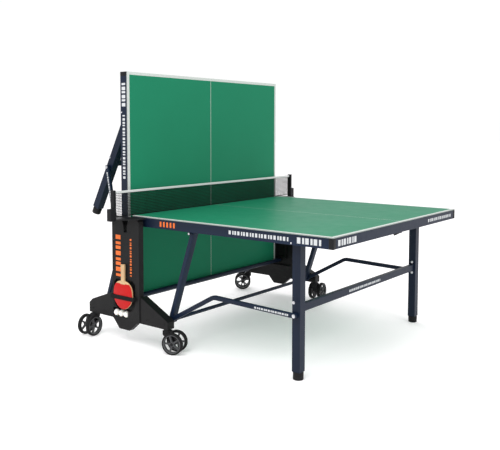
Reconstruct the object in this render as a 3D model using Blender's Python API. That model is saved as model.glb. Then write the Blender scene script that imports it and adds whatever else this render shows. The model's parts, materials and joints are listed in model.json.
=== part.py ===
"""A full-size folding ping pong table on a wheeled base, with one half down and the other raised.

Each half is modelled flat, as it is for play, on empties that sit on its pivots. The empties
then carry the rear half into its upright place. Metres, +Z up, X along the table, floor at z = 0.
"""
import math

import bmesh
import bpy
from mathutils import Matrix, Vector

# The table's own frame has the net at x = 0. This moves the middle of its box to x = 0.
CENTRE_X = 0.4617

# Playing surface
TOP_Z = 0.760
TABLE_END_X = 1.370
NET_EDGE_X = 0.0025
HALF_WIDTH = 0.7625
BOARD_THICK = 0.0062
RAIL_DEPTH = 0.060
RAIL_WIDE = 0.025
RAIL_INSET = 0.001
WALL = 0.0015
GAP = 0.0003

# Pivots of a half that lies flat: x and z
GUIDE = (0.0615, 0.730)
AXLE = (0.277, 0.168)
BRACE_TOP = (0.450, 0.691)
LEG_TOP = (1.130, 0.710)
STRUT_END = (1.130, 0.335)
STRUT_BEND = (0.600, 0.350)
FOLD_TURN = math.radians(90)
RAISED_EDGE_Z = 0.2425

# Legs, braces and struts, each in its own layer across the table
LEG_Y = 0.688
LEG_SIDE = 0.048
LEG_ABOVE = 0.015
FOOT_HIGH = 0.041
FOOT_R = 0.028
BAR_HIGH = 0.040
BAR_WIDE = 0.025
BAR_Z = 0.367
BRACE_LAYER = (0.689, 0.711)
STRUT_LAYER = (0.7145, 0.7355)
ARM_WIDE = 0.026
EYE_R = 0.018
BOSS_R = 0.011
WEEP_AT = 0.2
WEEP_R = 0.003
GUIDE_R = 0.007
ROLLER_R = 0.010
AXLE_R = 0.011
LEVER_BACK = 0.018

# Base
COLUMN_HALF = 0.115
COLUMN_TOP = 0.7445
COLUMN_FOOT = 0.140
COLUMN_TUB = 0.080
COLUMN_Y = (0.783, 0.820)
SLOT_DEEP = 0.014
SLOT_HALF = 0.0105
RECESS_X = (-0.098, 0.078)
RECESS_Z = (0.195, 0.380)
RECESS_FLOOR = 0.803
TUB_X = (-0.1095, 0.0155)
TUB_Z = (0.1515, 0.2035)
TUB_FLOOR = 0.787
STRAP_Y = (0.8365, 0.8395)
STRAP_Z = (0.268, 0.284)
STRAP_X = (-0.112, 0.085)
STRAP_FOOT = 0.007
BEAM_Y = (0.760, 0.815)
BEAM_END = 0.335
BEAM_BOTTOM = 0.1375
BEAM_BRIDGE = 0.232
CENTRE_TUBE_R = 0.014
CENTRE_TUBE_Z = 0.268

# Net
NET_TOP = 0.9125
NET_HALF_LENGTH = 0.9015
NET_THICK = 0.0014
POST_Y = 0.910
BRACKET_THICK = 0.006

# Casters: stem place and the way each one trails, in degrees from +X
STEM = (0.310, 0.790)
TRAIL = 0.045
TRAIL_TURN = {
    ("front", "near"): 20,
    ("rear", "near"): -86,
    ("front", "far"): 96,
    ("rear", "far"): -143,
}
WHEEL_R = 0.0625
WHEEL_WIDE = 0.024
WHEEL_PITCH = 0.070
WHEEL_AXLE_R = 0.005
STEM_R = 0.007

# Paddle and balls
BALL_R = 0.020
BALL_X = (-0.0885, -0.0475, -0.0065)
PADDLE_X = -0.0090
PADDLE_Y = 0.8308
BLADE_HALF = (0.080, 0.085)
BLADE_THICK = 0.0105
PADDLE_Z = 0.2915
HANDLE_TOP = 0.474
HANDLE_SIZE = (0.026, 0.020)

HALVES = {"front": 1, "rear": -1}
RAISED = {"front": 0.0, "rear": 1.0}
SIDES = {"near": -1, "far": 1}

BOARD_GREEN = (0.045, 0.27, 0.14, 1)
NAVY = (0.018, 0.027, 0.055, 1)
BLACK = (0.022, 0.022, 0.024, 1)
TYRE_BLACK = (0.012, 0.012, 0.013, 1)
WHITE = (0.85, 0.85, 0.82, 1)
RED = (0.75, 0.02, 0.02, 1)


def clear_scene():
    for old in list(bpy.data.objects):
        bpy.data.objects.remove(old, do_unlink=True)


def material(name, colour, roughness, metallic=0.0):
    made = bpy.data.materials.get(name) or bpy.data.materials.new(name)
    made.use_nodes = True
    shader = made.node_tree.nodes["Principled BSDF"]
    shader.inputs["Base Color"].default_value = colour
    shader.inputs["Roughness"].default_value = roughness
    shader.inputs["Metallic"].default_value = metallic
    return made


# ---------------------------------------------------------------- the folding linkage


def distance(a, b):
    return math.hypot(a[0] - b[0], a[1] - b[1])


def heading(start, end):
    return math.atan2(end[1] - start[1], end[0] - start[0])


def upright(point):
    """Where a point of the flat half goes when the half stands up: x and z."""
    low_z = RAISED_EDGE_Z + GUIDE[0] - NET_EDGE_X
    return GUIDE[0] - (point[1] - GUIDE[1]), low_z + (point[0] - GUIDE[0])


def outer_crossing(a, radius_a, b, radius_b):
    """The crossing of two circles that lies further out from the net."""
    gap = distance(a, b)
    along = (gap**2 + radius_a**2 - radius_b**2) / (2 * gap)
    across = math.sqrt(radius_a**2 - along**2)
    ux = (b[0] - a[0]) / gap
    uz = (b[1] - a[1]) / gap
    middle = (a[0] + along * ux, a[1] + along * uz)
    first = (middle[0] - across * uz, middle[1] + across * ux)
    second = (middle[0] + across * uz, middle[1] - across * ux)
    return max(first, second)


def linkage():
    """Travel of the guide and the turns of the brace, the strut and the leg as a half stands up."""
    travel = GUIDE[1] - upright(GUIDE)[1]
    brace = heading(AXLE, upright(BRACE_TOP)) - heading(AXLE, BRACE_TOP)
    leg_high = upright(LEG_TOP)
    strut_high = outer_crossing(
        leg_high, distance(LEG_TOP, STRUT_END), AXLE, distance(AXLE, STRUT_END)
    )
    strut = heading(AXLE, strut_high) - heading(AXLE, STRUT_END)
    leg = FOLD_TURN - (heading(leg_high, strut_high) - heading(LEG_TOP, STRUT_END))
    return travel, brace, strut, leg


# ---------------------------------------------------------------- objects and meshes


def empty(name, parent, place, turn_y=0.0, turn_z=0.0):
    """An empty on a pivot. Its play place, kept as a property, is what its meshes are measured from."""
    made = bpy.data.objects.new(name, None)
    bpy.context.scene.collection.objects.link(made)
    made.parent = parent
    origin = Vector(parent["play"]) if parent else Vector((0, 0, 0))
    made.location = Vector(place) - origin
    made.rotation_euler = (0, turn_y, turn_z)
    made["play"] = tuple(place)
    return made


def add(name, mesh, pivot, look, smooth=False):
    """Turns a bmesh, given in the play position, into an object under its pivot."""
    bmesh.ops.translate(mesh, vec=-Vector(pivot["play"]), verts=mesh.verts)
    bmesh.ops.recalc_face_normals(mesh, faces=mesh.faces)
    data = bpy.data.meshes.new(name)
    mesh.to_mesh(data)
    mesh.free()
    if look is not None:
        data.materials.append(look)
    made = bpy.data.objects.new(name, data)
    bpy.context.scene.collection.objects.link(made)
    made.parent = pivot
    if smooth:
        data.shade_smooth()
        data.set_sharp_from_angle(angle=math.radians(35))
    return made


def combine(target, mesh, pivot, operation):
    """Joins a shape to the target, or cuts it out, with a Boolean that stays live."""
    other = add(target.name + "_tool", mesh, pivot, None)
    other.hide_render = True
    other.display_type = "WIRE"
    modifier = target.modifiers.new(operation.title(), "BOOLEAN")
    modifier.operation = operation
    modifier.object = other


def box(low, high):
    mesh = bmesh.new()
    size = Vector(high) - Vector(low)
    middle = (Vector(high) + Vector(low)) / 2
    place = Matrix.Translation(middle) @ Matrix.Diagonal((*size, 1))
    bmesh.ops.create_cube(mesh, size=1, matrix=place)
    return mesh


def side_box(side, x_range, y_range, z_range):
    """A box given for the far side, put on the far or the near side."""
    y_low, y_high = sorted(side * y for y in y_range)
    return box((x_range[0], y_low, z_range[0]), (x_range[1], y_high, z_range[1]))


def prism(outline, y_low, y_high):
    """An outline in x and z, extruded across the table."""
    mesh = bmesh.new()
    face = mesh.faces.new([mesh.verts.new((x, y_low, z)) for x, z in outline])
    grown = bmesh.ops.extrude_face_region(mesh, geom=[face])
    moved = [v for v in grown["geom"] if isinstance(v, bmesh.types.BMVert)]
    bmesh.ops.translate(mesh, vec=(0, y_high - y_low, 0), verts=moved)
    return mesh


def plan_prism(side, plan, z_low, z_high):
    """An outline in x and y, given for the far side, extruded upwards."""
    mesh = bmesh.new()
    face = mesh.faces.new([mesh.verts.new((x, side * y, z_low)) for x, y in plan])
    grown = bmesh.ops.extrude_face_region(mesh, geom=[face])
    moved = [v for v in grown["geom"] if isinstance(v, bmesh.types.BMVert)]
    bmesh.ops.translate(mesh, vec=(0, 0, z_high - z_low), verts=moved)
    return mesh


def rod(start, end, radius, segments=20):
    """A round bar between two points."""
    mesh = bmesh.new()
    start = Vector(start)
    along = Vector(end) - start
    turn = along.to_track_quat("Z", "Y").to_matrix().to_4x4()
    place = Matrix.Translation(start + along / 2) @ turn
    bmesh.ops.create_cone(
        mesh,
        cap_ends=True,
        segments=segments,
        radius1=radius,
        radius2=radius,
        depth=along.length,
        matrix=place,
    )
    return mesh


def cross_rod(x, z, y_low, y_high, radius, segments=16):
    return rod((x, y_low, z), (x, y_high, z), radius, segments)


def ring_sweep(stations, closed=False):
    """Skins a row of outer and inner rings into one hollow body with open ends."""
    mesh = bmesh.new()
    rows = [[[mesh.verts.new(p) for p in ring] for ring in pair] for pair in stations]
    count = len(rows[0][0])
    steps = list(zip(rows, rows[1:] + rows[:1] if closed else rows[1:]))
    for here, there in steps:
        for ring in range(len(here)):
            for i in range(count):
                j = (i + 1) % count
                mesh.faces.new((here[ring][i], here[ring][j], there[ring][j], there[ring][i]))
    if not closed:
        for pair in (rows[0], rows[-1]):
            for i in range(count):
                j = (i + 1) % count
                mesh.faces.new((pair[0][i], pair[0][j], pair[1][j], pair[1][i]))
    return mesh


def rectangle(middle, side_a, side_b):
    corners = ((-1, -1), (1, -1), (1, 1), (-1, 1))
    return [middle + side_a * a + side_b * b for a, b in corners]


def flat_tube(path, half_a, half_b, wall):
    """A rectangular tube along a path in one x-z plane, mitred where it bends."""
    points = [Vector(p) for p in path]
    across = Vector((0, 1, 0))
    stations = []
    for i, point in enumerate(points):
        before = (points[i] - points[max(i - 1, 0)]).normalized()
        after = (points[min(i + 1, len(points) - 1)] - points[i]).normalized()
        along = (before + after).normalized()
        stretch = 1 / along.dot(after if after.length else before)
        normal = along.cross(across)
        outer = rectangle(point, normal * half_a * stretch, across * half_b)
        inner = rectangle(point, normal * (half_a - wall) * stretch, across * (half_b - wall))
        stations.append((outer, inner))
    return ring_sweep(stations)


def cross_tube(x, z, y_low, y_high, half_x, half_z, wall):
    """A rectangular tube that runs across the table."""
    stations = []
    for y in (y_low, y_high):
        middle = Vector((x, y, z))
        outer = rectangle(middle, Vector((half_x, 0, 0)), Vector((0, 0, half_z)))
        inner = rectangle(middle, Vector((half_x - wall, 0, 0)), Vector((0, 0, half_z - wall)))
        stations.append((outer, inner))
    return ring_sweep(stations)


def turned(profile, centre, axis, segments):
    """A closed profile of axial place and radius, turned about an axis through the centre."""
    mesh = bmesh.new()
    centre = Vector(centre)
    axis = Vector(axis).normalized()
    side = axis.orthogonal().normalized()
    rings = []
    for step in range(segments):
        out = Matrix.Rotation(2 * math.pi * step / segments, 3, axis) @ side
        rings.append([mesh.verts.new(centre + axis * a + out * r) for a, r in profile])
    for here, there in zip(rings, rings[1:] + rings[:1]):
        for i in range(len(profile)):
            j = (i + 1) % len(profile)
            mesh.faces.new((here[i], here[j], there[j], there[i]))
    return mesh


# ---------------------------------------------------------------- base


def column_outline():
    """Top to bottom: a notch between two lobes, straight sides, and a narrower tub set to the rear."""
    side = [
        (0.013, 0.665),
        (0.013, 0.700),
        (0.024, 0.732),
        (0.045, COLUMN_TOP),
        (0.100, COLUMN_TOP),
        (COLUMN_HALF, COLUMN_TOP - 0.015),
        (COLUMN_HALF, COLUMN_FOOT),
    ]
    foot = [(0.088, COLUMN_FOOT - 0.008), (0.028, COLUMN_TUB), (-0.058, COLUMN_TUB), (-0.104, COLUMN_FOOT - 0.010)]
    return side + foot + [(-x, z) for x, z in reversed(side)]


def recess_outline():
    """A shallow window behind the blade, with a rounded foot."""
    low_x, high_x = RECESS_X
    radius = 0.055
    points = [
        (high_x, RECESS_Z[1] - 0.020),
        (high_x - 0.020, RECESS_Z[1]),
        (low_x + 0.020, RECESS_Z[1]),
        (low_x, RECESS_Z[1] - 0.020),
    ]
    for corner, first in ((low_x + radius, 180), (high_x - radius, 270)):
        for step in range(5):
            turn = math.radians(first + 22.5 * step)
            x = corner + radius * math.cos(turn)
            points.append((x, RECESS_Z[0] + radius + radius * math.sin(turn)))
    return points


def make_column(side_name, side, table, look):
    y_low, y_high = sorted(side * y for y in COLUMN_Y)
    column = add(side_name + "_column", prism(column_outline(), y_low, y_high), table, look)
    inner = COLUMN_Y[0]
    slot_top = GUIDE[1] + ROLLER_R + 2 * GAP
    slot_low = upright(GUIDE)[1] - ROLLER_R - 2 * GAP
    for x in (-GUIDE[0], GUIDE[0]):
        slot = side_box(
            side,
            (x - SLOT_HALF, x + SLOT_HALF),
            (inner - 0.01, inner + SLOT_DEEP),
            (slot_low, slot_top),
        )
        combine(column, slot, table, "DIFFERENCE")
    floor_y, out_y = sorted((side * RECESS_FLOOR, side * (COLUMN_Y[1] + 0.01)))
    combine(column, prism(recess_outline(), floor_y, out_y), table, "DIFFERENCE")
    combine(column, side_box(side, TUB_X, (TUB_FLOOR, 0.85), TUB_Z), table, "DIFFERENCE")
    relief = side_box(side, (-0.044, 0.044), (inner - 0.01, inner + SLOT_DEEP), (0.29, 0.645))
    combine(column, relief, table, "DIFFERENCE")
    return column


def make_beam(side_name, side, table, look):
    """The wing-shaped beam behind a column: it holds both axle tubes and both casters."""
    front = [
        (0.118, 0.293),
        (0.130, 0.288),
        (0.318, 0.192),
        (BEAM_END, 0.180),
        (BEAM_END, BEAM_BOTTOM),
    ]
    rear = [
        (-BEAM_END, BEAM_BOTTOM),
        (-BEAM_END, 0.197),
        (-0.306, 0.223),
        (-0.206, 0.261),
        (-0.118, 0.293),
    ]
    outline = front + rear
    y_low, y_high = sorted(side * y for y in BEAM_Y)
    beam = add(side_name + "_base_beam", prism(outline, y_low, y_high), table, look)
    bridge_x = (-COLUMN_HALF - GAP, COLUMN_HALF + GAP)
    over_bridge = side_box(side, bridge_x, (0.70, 0.85), (BEAM_BRIDGE, 0.35))
    combine(beam, over_bridge, table, "DIFFERENCE")
    column_seat = side_box(side, bridge_x, (COLUMN_Y[0] - GAP, 0.85), (0.10, 0.35))
    combine(beam, column_seat, table, "DIFFERENCE")
    for half in HALVES.values():
        hole_low, hole_high = sorted((side * 0.75, side * 0.7853))
        bore = cross_rod(half * AXLE[0], AXLE[1], hole_low, hole_high, AXLE_R + GAP)
        combine(beam, bore, table, "DIFFERENCE")
        stem_x = half * STEM[0]
        stem_y = side * STEM[1]
        socket = rod((stem_x, stem_y, 0.12), (stem_x, stem_y, 0.1655), STEM_R + GAP, 16)
        combine(beam, socket, table, "DIFFERENCE")
        hollow_x = sorted((half * 0.135, half * 0.245))
        hollow = side_box(side, hollow_x, (0.765, 0.810), (0.12, 0.205))
        combine(beam, hollow, table, "DIFFERENCE")
    return beam


def make_post(side_name, side, table, look):
    """The bracket on the column's top and the upright post at its outer end."""
    base_z = COLUMN_TOP + GAP
    top_z = base_z + BRACKET_THICK
    plan = [(-0.118, 0.768), (0.118, 0.768), (0.118, 0.826), (0.022, POST_Y + 0.006)]
    plan += [(-0.022, POST_Y + 0.006), (-0.118, 0.826)]
    post = add(side_name + "_net_post", plan_prism(side, plan, base_z, top_z), table, look)
    clamp = side_box(side, (-0.016, 0.016), (POST_Y - 0.004, POST_Y + 0.035), (base_z - 0.004, 0.812))
    combine(post, clamp, table, "UNION")
    inner_y = POST_Y - 0.008
    upright_part = side_box(side, (-0.014, 0.014), (inner_y, POST_Y + 0.008), (top_z - 0.004, 0.9185))
    combine(post, upright_part, table, "UNION")


def make_strap(side_name, side, table, look):
    """A band that bridges the paddle, on two feet that stand on the column's face."""
    face = COLUMN_Y[1] + GAP
    strap = add(side_name + "_strap", side_box(side, STRAP_X, STRAP_Y, STRAP_Z), table, look)
    for foot_x in ((STRAP_X[0], STRAP_X[0] + STRAP_FOOT), (STRAP_X[1] - STRAP_FOOT, STRAP_X[1])):
        foot = side_box(side, foot_x, (face, STRAP_Y[0] + 0.001), STRAP_Z)
        combine(strap, foot, table, "UNION")


def make_base(table):
    plastic = material("column_black", BLACK, 0.5)
    steel = material("frame_navy", NAVY, 0.4, 0.3)
    for side_name, side in SIDES.items():
        make_column(side_name, side, table, plastic)
        make_beam(side_name, side, table, plastic)
        make_post(side_name, side, table, plastic)
        make_strap(side_name, side, table, material("strap_black", BLACK, 0.7))
    reach = 0.785
    for half_name, half in HALVES.items():
        axle = cross_rod(half * AXLE[0], AXLE[1], -reach, reach, AXLE_R)
        add(half_name + "_base_axle", axle, table, steel, smooth=True)
    reach = COLUMN_Y[0] - GAP
    tube = cross_rod(0, CENTRE_TUBE_Z, -reach, reach, CENTRE_TUBE_R)
    add("centre_tube", tube, table, steel, smooth=True)


def make_net(table):
    half = NET_THICK / 2
    net = box((-half, -NET_HALF_LENGTH, TOP_Z + 0.0015), (half, NET_HALF_LENGTH, NET_TOP))
    add("net", net, table, material("net_black", BLACK, 0.9))


def make_balls(table):
    white = material("ball_white", WHITE, 0.4)
    y = -(TUB_FLOOR + GAP + BALL_R)
    z = TUB_Z[0] + GAP + BALL_R
    for number, x in enumerate(BALL_X, 1):
        mesh = bmesh.new()
        place = Matrix.Translation((x, y, z))
        bmesh.ops.create_icosphere(mesh, subdivisions=3, radius=BALL_R, matrix=place)
        add(f"ball_{number}", mesh, table, white, smooth=True)


def make_paddle(table):
    pivot = empty("paddle_lift", table, (PADDLE_X, -PADDLE_Y, PADDLE_Z))
    wide, high = BLADE_HALF
    outline = []
    for step in range(32):
        turn = 2 * math.pi * step / 32
        power = 0.80 if step < 16 else 1.08
        x = wide * math.copysign(abs(math.cos(turn)) ** power, math.cos(turn))
        z = high * math.copysign(abs(math.sin(turn)) ** power, math.sin(turn))
        outline.append((PADDLE_X + x, PADDLE_Z + z))
    half = BLADE_THICK / 2
    blade = prism(outline, -PADDLE_Y - half, -PADDLE_Y + half)
    paddle = add("paddle", blade, pivot, material("paddle_red", RED, 0.5))
    grip_x = HANDLE_SIZE[0] / 2
    grip_y = HANDLE_SIZE[1] / 2
    grip = box(
        (PADDLE_X - grip_x, -PADDLE_Y - grip_y, PADDLE_Z + high - 0.010),
        (PADDLE_X + grip_x, -PADDLE_Y + grip_y, HANDLE_TOP),
    )
    combine(paddle, grip, pivot, "UNION")


# ---------------------------------------------------------------- a folding half


def make_board_and_rails(name, half, fold):
    board_low = TOP_Z - BOARD_THICK
    x_low, x_high = sorted((half * NET_EDGE_X, half * TABLE_END_X))
    board = box((x_low, -HALF_WIDTH, board_low), (x_high, HALF_WIDTH, TOP_Z))
    add(name + "_board", board, fold, material("board_green", BOARD_GREEN, 0.35))
    navy = material("frame_navy", NAVY, 0.4, 0.3)
    rail_high = board_low - GAP
    rail_low = TOP_Z - RAIL_DEPTH
    middle_z = (rail_high + rail_low) / 2
    half_z = (rail_high - rail_low) / 2
    start = NET_EDGE_X + 0.002
    stop = TABLE_END_X - RAIL_INSET
    rail_y = HALF_WIDTH - RAIL_INSET - RAIL_WIDE / 2
    for side_name, side in SIDES.items():
        path = [(half * x, side * rail_y, middle_z) for x in (start, stop)]
        rail = flat_tube(path, half_z, RAIL_WIDE / 2, WALL)
        made = add(f"{name}_{side_name}_rail", rail, fold, navy)
        bore = cross_rod(half * GUIDE[0], GUIDE[1], side * rail_y - 0.02, side * rail_y + 0.02, GUIDE_R + GAP)
        combine(made, bore, fold, "DIFFERENCE")
    reach = rail_y - RAIL_WIDE / 2 - GAP
    for part, x in (("inner", start + RAIL_WIDE / 2), ("outer", stop - RAIL_WIDE / 2)):
        rail = cross_tube(half * x, middle_z, -reach, reach, RAIL_WIDE / 2, half_z, WALL)
        add(f"{name}_{part}_rail", rail, fold, navy)


def make_guide_shaft(name, half, carriage):
    """A shaft through both side rails, with a roller on each end that runs in a column slot."""
    steel = material("shaft_steel", (0.5, 0.5, 0.52, 1), 0.35, 1.0)
    roller_in = COLUMN_Y[0] - 0.004
    roller_out = COLUMN_Y[0] + SLOT_DEEP - 0.001
    core = cross_rod(half * GUIDE[0], GUIDE[1], -roller_in - 0.003, roller_in + 0.003, GUIDE_R, 16)
    shaft = add(name + "_guide_shaft", core, carriage, steel, smooth=True)
    for side in SIDES.values():
        low, high = sorted((side * roller_in, side * roller_out))
        roller = cross_rod(half * GUIDE[0], GUIDE[1], low, high, ROLLER_R, 16)
        combine(shaft, roller, carriage, "UNION")


def make_legs(name, half, legs):
    navy = material("frame_navy", NAVY, 0.4, 0.3)
    black = material("foot_black", BLACK, 0.6)
    x = half * LEG_TOP[0]
    half_side = LEG_SIDE / 2
    rail_inner = HALF_WIDTH - RAIL_INSET - RAIL_WIDE
    for side_name, side in SIDES.items():
        y = side * LEG_Y
        path = [(x, y, FOOT_HIGH + GAP), (x, y, LEG_TOP[1] + LEG_ABOVE)]
        leg = add(f"{name}_{side_name}_leg", flat_tube(path, half_side, half_side, WALL), legs, navy)
        boss_y = sorted((side * (LEG_Y + half_side - 0.001), side * (rail_inner - GAP)))
        boss = cross_rod(x, LEG_TOP[1], boss_y[0], boss_y[1], BOSS_R, 16)
        combine(leg, boss, legs, "UNION")
        turn = empty(f"{name}_{side_name}_foot_turn", legs, (x, y, 0))
        foot = rod((x, y, 0), (x, y, FOOT_HIGH), FOOT_R, 24)
        add(f"{name}_{side_name}_foot", foot, turn, black, smooth=True)
    reach = LEG_Y - half_side - GAP
    bar = cross_tube(x, BAR_Z, -reach, reach, BAR_WIDE / 2, BAR_HIGH / 2, WALL)
    add(name + "_leg_crossbar", bar, legs, navy)


def make_arm(name, path, layer, side, pivot, look):
    """A tube with an eye on the base axle at its first point and a rounded eye at its last, with a weep hole."""
    middle_y = side * (layer[0] + layer[1]) / 2
    half_y = (layer[1] - layer[0]) / 2
    points = [(x, middle_y, z) for x, z in path]
    arm = add(name, flat_tube(points, ARM_WIDE / 2, half_y - 0.001, WALL), pivot, look)
    y_low, y_high = middle_y - half_y, middle_y + half_y
    eye = cross_rod(path[0][0], path[0][1], y_low, y_high, EYE_R)
    combine(arm, eye, pivot, "UNION")
    tip = cross_rod(path[-1][0], path[-1][1], y_low, y_high, ARM_WIDE / 2 + 0.001)
    combine(arm, tip, pivot, "UNION")
    bore = cross_rod(path[0][0], path[0][1], y_low - 0.01, y_high + 0.01, AXLE_R + GAP)
    combine(arm, bore, pivot, "DIFFERENCE")
    weep_x = path[0][0] + (path[1][0] - path[0][0]) * WEEP_AT
    weep_z = path[0][1] + (path[1][1] - path[0][1]) * WEEP_AT
    weep = cross_rod(weep_x, weep_z, y_low - 0.01, y_high + 0.01, WEEP_R, 12)
    combine(arm, weep, pivot, "DIFFERENCE")
    return arm


def make_braces_and_struts(name, half, braces, struts):
    navy = material("frame_navy", NAVY, 0.4, 0.3)
    rail_inner = HALF_WIDTH - RAIL_INSET - RAIL_WIDE
    for side_name, side in SIDES.items():
        path = [(half * x, z) for x, z in (AXLE, BRACE_TOP)]
        brace = make_arm(f"{name}_{side_name}_brace", path, BRACE_LAYER, side, braces, navy)
        boss_y = sorted((side * (BRACE_LAYER[1] - 0.004), side * (rail_inner - GAP)))
        boss = cross_rod(path[-1][0], path[-1][1], boss_y[0], boss_y[1], 0.008, 16)
        combine(brace, boss, braces, "UNION")
        path = [(half * x, z) for x, z in (AXLE, STRUT_BEND, STRUT_END)]
        make_arm(f"{name}_{side_name}_strut", path, STRUT_LAYER, side, struts, navy)


def make_lever(name, half, lever):
    """The barrel under the outer rail and the finger tab that hangs from it."""
    x, _, z = lever["play"]
    black = material("lever_black", BLACK, 0.5)
    barrel = cross_rod(x, z, -0.018, 0.018, 0.0045, 12)
    made = add(name + "_release_lever", barrel, lever, black)
    outline = [(0.003, -0.001), (-0.003, 0.0035), (-0.034, -0.012), (-0.030, -0.020)]
    tab = prism([(x + half * dx, z + dz) for dx, dz in outline], -0.012, 0.012)
    combine(made, tab, lever, "UNION")


def make_half(name, half, table):
    travel, brace_turn, strut_turn, leg_turn = linkage()
    up = RAISED[name]
    guide = (half * GUIDE[0], 0, GUIDE[1])
    axle = (half * AXLE[0], 0, AXLE[1])
    carriage = empty(name + "_carriage", table, guide)
    carriage.location.z -= up * travel
    fold = empty(name + "_fold", carriage, guide, turn_y=-half * up * FOLD_TURN)
    legs = empty(name + "_leg_fold", fold, (half * LEG_TOP[0], 0, LEG_TOP[1]), turn_y=half * up * leg_turn)
    braces = empty(name + "_brace_swing", table, axle, turn_y=-half * up * brace_turn)
    struts = empty(name + "_strut_swing", table, axle, turn_y=-half * up * strut_turn)
    lever_place = (half * (TABLE_END_X - LEVER_BACK), 0, TOP_Z - RAIL_DEPTH - 0.0050)
    lever = empty(name + "_lever_turn", fold, lever_place)
    make_board_and_rails(name, half, fold)
    make_guide_shaft(name, half, carriage)
    make_legs(name, half, legs)
    make_braces_and_struts(name, half, braces, struts)
    make_lever(name, half, lever)


# ---------------------------------------------------------------- casters


def make_fork(name, swivel, look):
    """A block between the wheels, with the stem above, the axle below and a swivel plate."""
    x, y, _ = swivel["play"]
    outline = [(-0.022, 0.130), (0.022, 0.130), (0.056, 0.080), (0.060, 0.0625), (0.054, 0.050), (0.040, 0.048)]
    outline += [(0.030, 0.056), (-0.022, 0.108)]
    half = WHEEL_PITCH / 2 - WHEEL_WIDE / 2 - 0.003
    fork = add(name + "_caster_fork", prism([(x + u, z) for u, z in outline], y - half, y + half), swivel, look)
    plate_top = BEAM_BOTTOM - GAP
    combine(fork, rod((x, y, 0.128), (x, y, plate_top), 0.0195, 24), swivel, "UNION")
    combine(fork, rod((x, y, 0.120), (x, y, 0.165), STEM_R, 16), swivel, "UNION")
    reach = WHEEL_PITCH / 2 + WHEEL_WIDE / 2 + 0.002
    axle = cross_rod(x + TRAIL, WHEEL_R, y - reach, y + reach, WHEEL_AXLE_R, 12)
    combine(fork, axle, swivel, "UNION")


def wheel_profile():
    """Half section of a wheel with a bore: tyre, recessed web and hub."""
    edge = WHEEL_WIDE / 2
    outer = [(edge, WHEEL_AXLE_R + GAP), (edge, 0.016), (0.004, 0.018), (0.004, 0.046)]
    outer += [(edge, 0.050), (edge - 0.004, WHEEL_R)]
    return outer + [(-a, r) for a, r in reversed(outer)]


def make_caster(half_name, side_name, table):
    place = (HALVES[half_name] * STEM[0], SIDES[side_name] * STEM[1], 0.15)
    name = f"{half_name}_{side_name}"
    turn = math.radians(TRAIL_TURN[half_name, side_name])
    swivel = empty(name + "_swivel", table, place, turn_z=turn)
    make_fork(name, swivel, material("caster_black", BLACK, 0.5))
    for part, sign in (("left", 1), ("right", -1)):
        centre = (place[0] + TRAIL, place[1] + sign * WHEEL_PITCH / 2, WHEEL_R)
        roll = empty(f"{name}_{part}_roll", swivel, centre)
        wheel = turned(wheel_profile(), centre, (0, 1, 0), 22)
        add(f"{name}_{part}_wheel", wheel, roll, material("tyre_black", TYRE_BLACK, 0.7), smooth=True)


def main():
    clear_scene()
    table = empty("table", None, (0, 0, 0))
    table.location.x = -CENTRE_X
    make_base(table)
    make_net(table)
    make_balls(table)
    make_paddle(table)
    for name, half in HALVES.items():
        make_half(name, half, table)
    for half_name in HALVES:
        for side_name in SIDES:
            make_caster(half_name, side_name, table)


if __name__ == "__main__":
    main()
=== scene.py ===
"""Looks of a folding ping pong table on a wheeled base, laid out as a Blender add-on."""
import json
import math

import bmesh
import bpy
from bpy.props import FloatProperty, FloatVectorProperty, IntProperty, PointerProperty
from mathutils import Matrix, Vector

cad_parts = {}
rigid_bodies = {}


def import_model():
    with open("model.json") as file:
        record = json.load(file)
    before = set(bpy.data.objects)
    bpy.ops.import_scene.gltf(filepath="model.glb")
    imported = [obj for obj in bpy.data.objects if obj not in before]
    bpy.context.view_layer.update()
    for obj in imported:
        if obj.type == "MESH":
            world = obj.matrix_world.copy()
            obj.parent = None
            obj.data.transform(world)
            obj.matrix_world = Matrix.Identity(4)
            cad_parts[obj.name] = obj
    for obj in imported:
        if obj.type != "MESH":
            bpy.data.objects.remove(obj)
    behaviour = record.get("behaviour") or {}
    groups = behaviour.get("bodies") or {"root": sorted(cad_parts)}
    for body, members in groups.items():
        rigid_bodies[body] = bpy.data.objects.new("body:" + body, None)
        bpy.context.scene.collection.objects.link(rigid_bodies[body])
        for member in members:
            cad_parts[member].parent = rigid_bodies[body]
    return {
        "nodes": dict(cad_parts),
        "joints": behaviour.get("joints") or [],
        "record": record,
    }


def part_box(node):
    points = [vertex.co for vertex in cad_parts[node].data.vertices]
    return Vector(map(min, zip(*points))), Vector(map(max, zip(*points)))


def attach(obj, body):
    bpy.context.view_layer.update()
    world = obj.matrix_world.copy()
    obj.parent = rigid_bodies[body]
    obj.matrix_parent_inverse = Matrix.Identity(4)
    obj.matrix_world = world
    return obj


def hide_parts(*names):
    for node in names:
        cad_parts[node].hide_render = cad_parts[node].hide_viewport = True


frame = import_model()

bl_info = {
    "name": "Folding Ping Pong Table",
    "version": (1, 0, 0),
    "blender": (4, 5, 0),
    "location": "3D View > Sidebar > Ping Pong Table",
    "description": "Builds the boards, folding frame, wheeled base, net and play gear of a table",
    "category": "Object",
}

# ------------------------------------------------------------ places read from the frame

NODES = frame["nodes"]
NODE_BODY = {node: body for body, nodes in frame["record"]["behaviour"]["bodies"].items() for node in nodes}
BODY_JOINT = {joint["child"]: joint for joint in frame["joints"]}
JOINTS = {joint["name"]: joint for joint in frame["joints"]}
LEADS = {c["joint"]: (c["follows"], c["ratio"]) for c in frame["record"]["behaviour"]["couplings"]}
SLOTS = {part["node"]: part["material_slot"] for part in frame["record"]["subparts"]}

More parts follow.
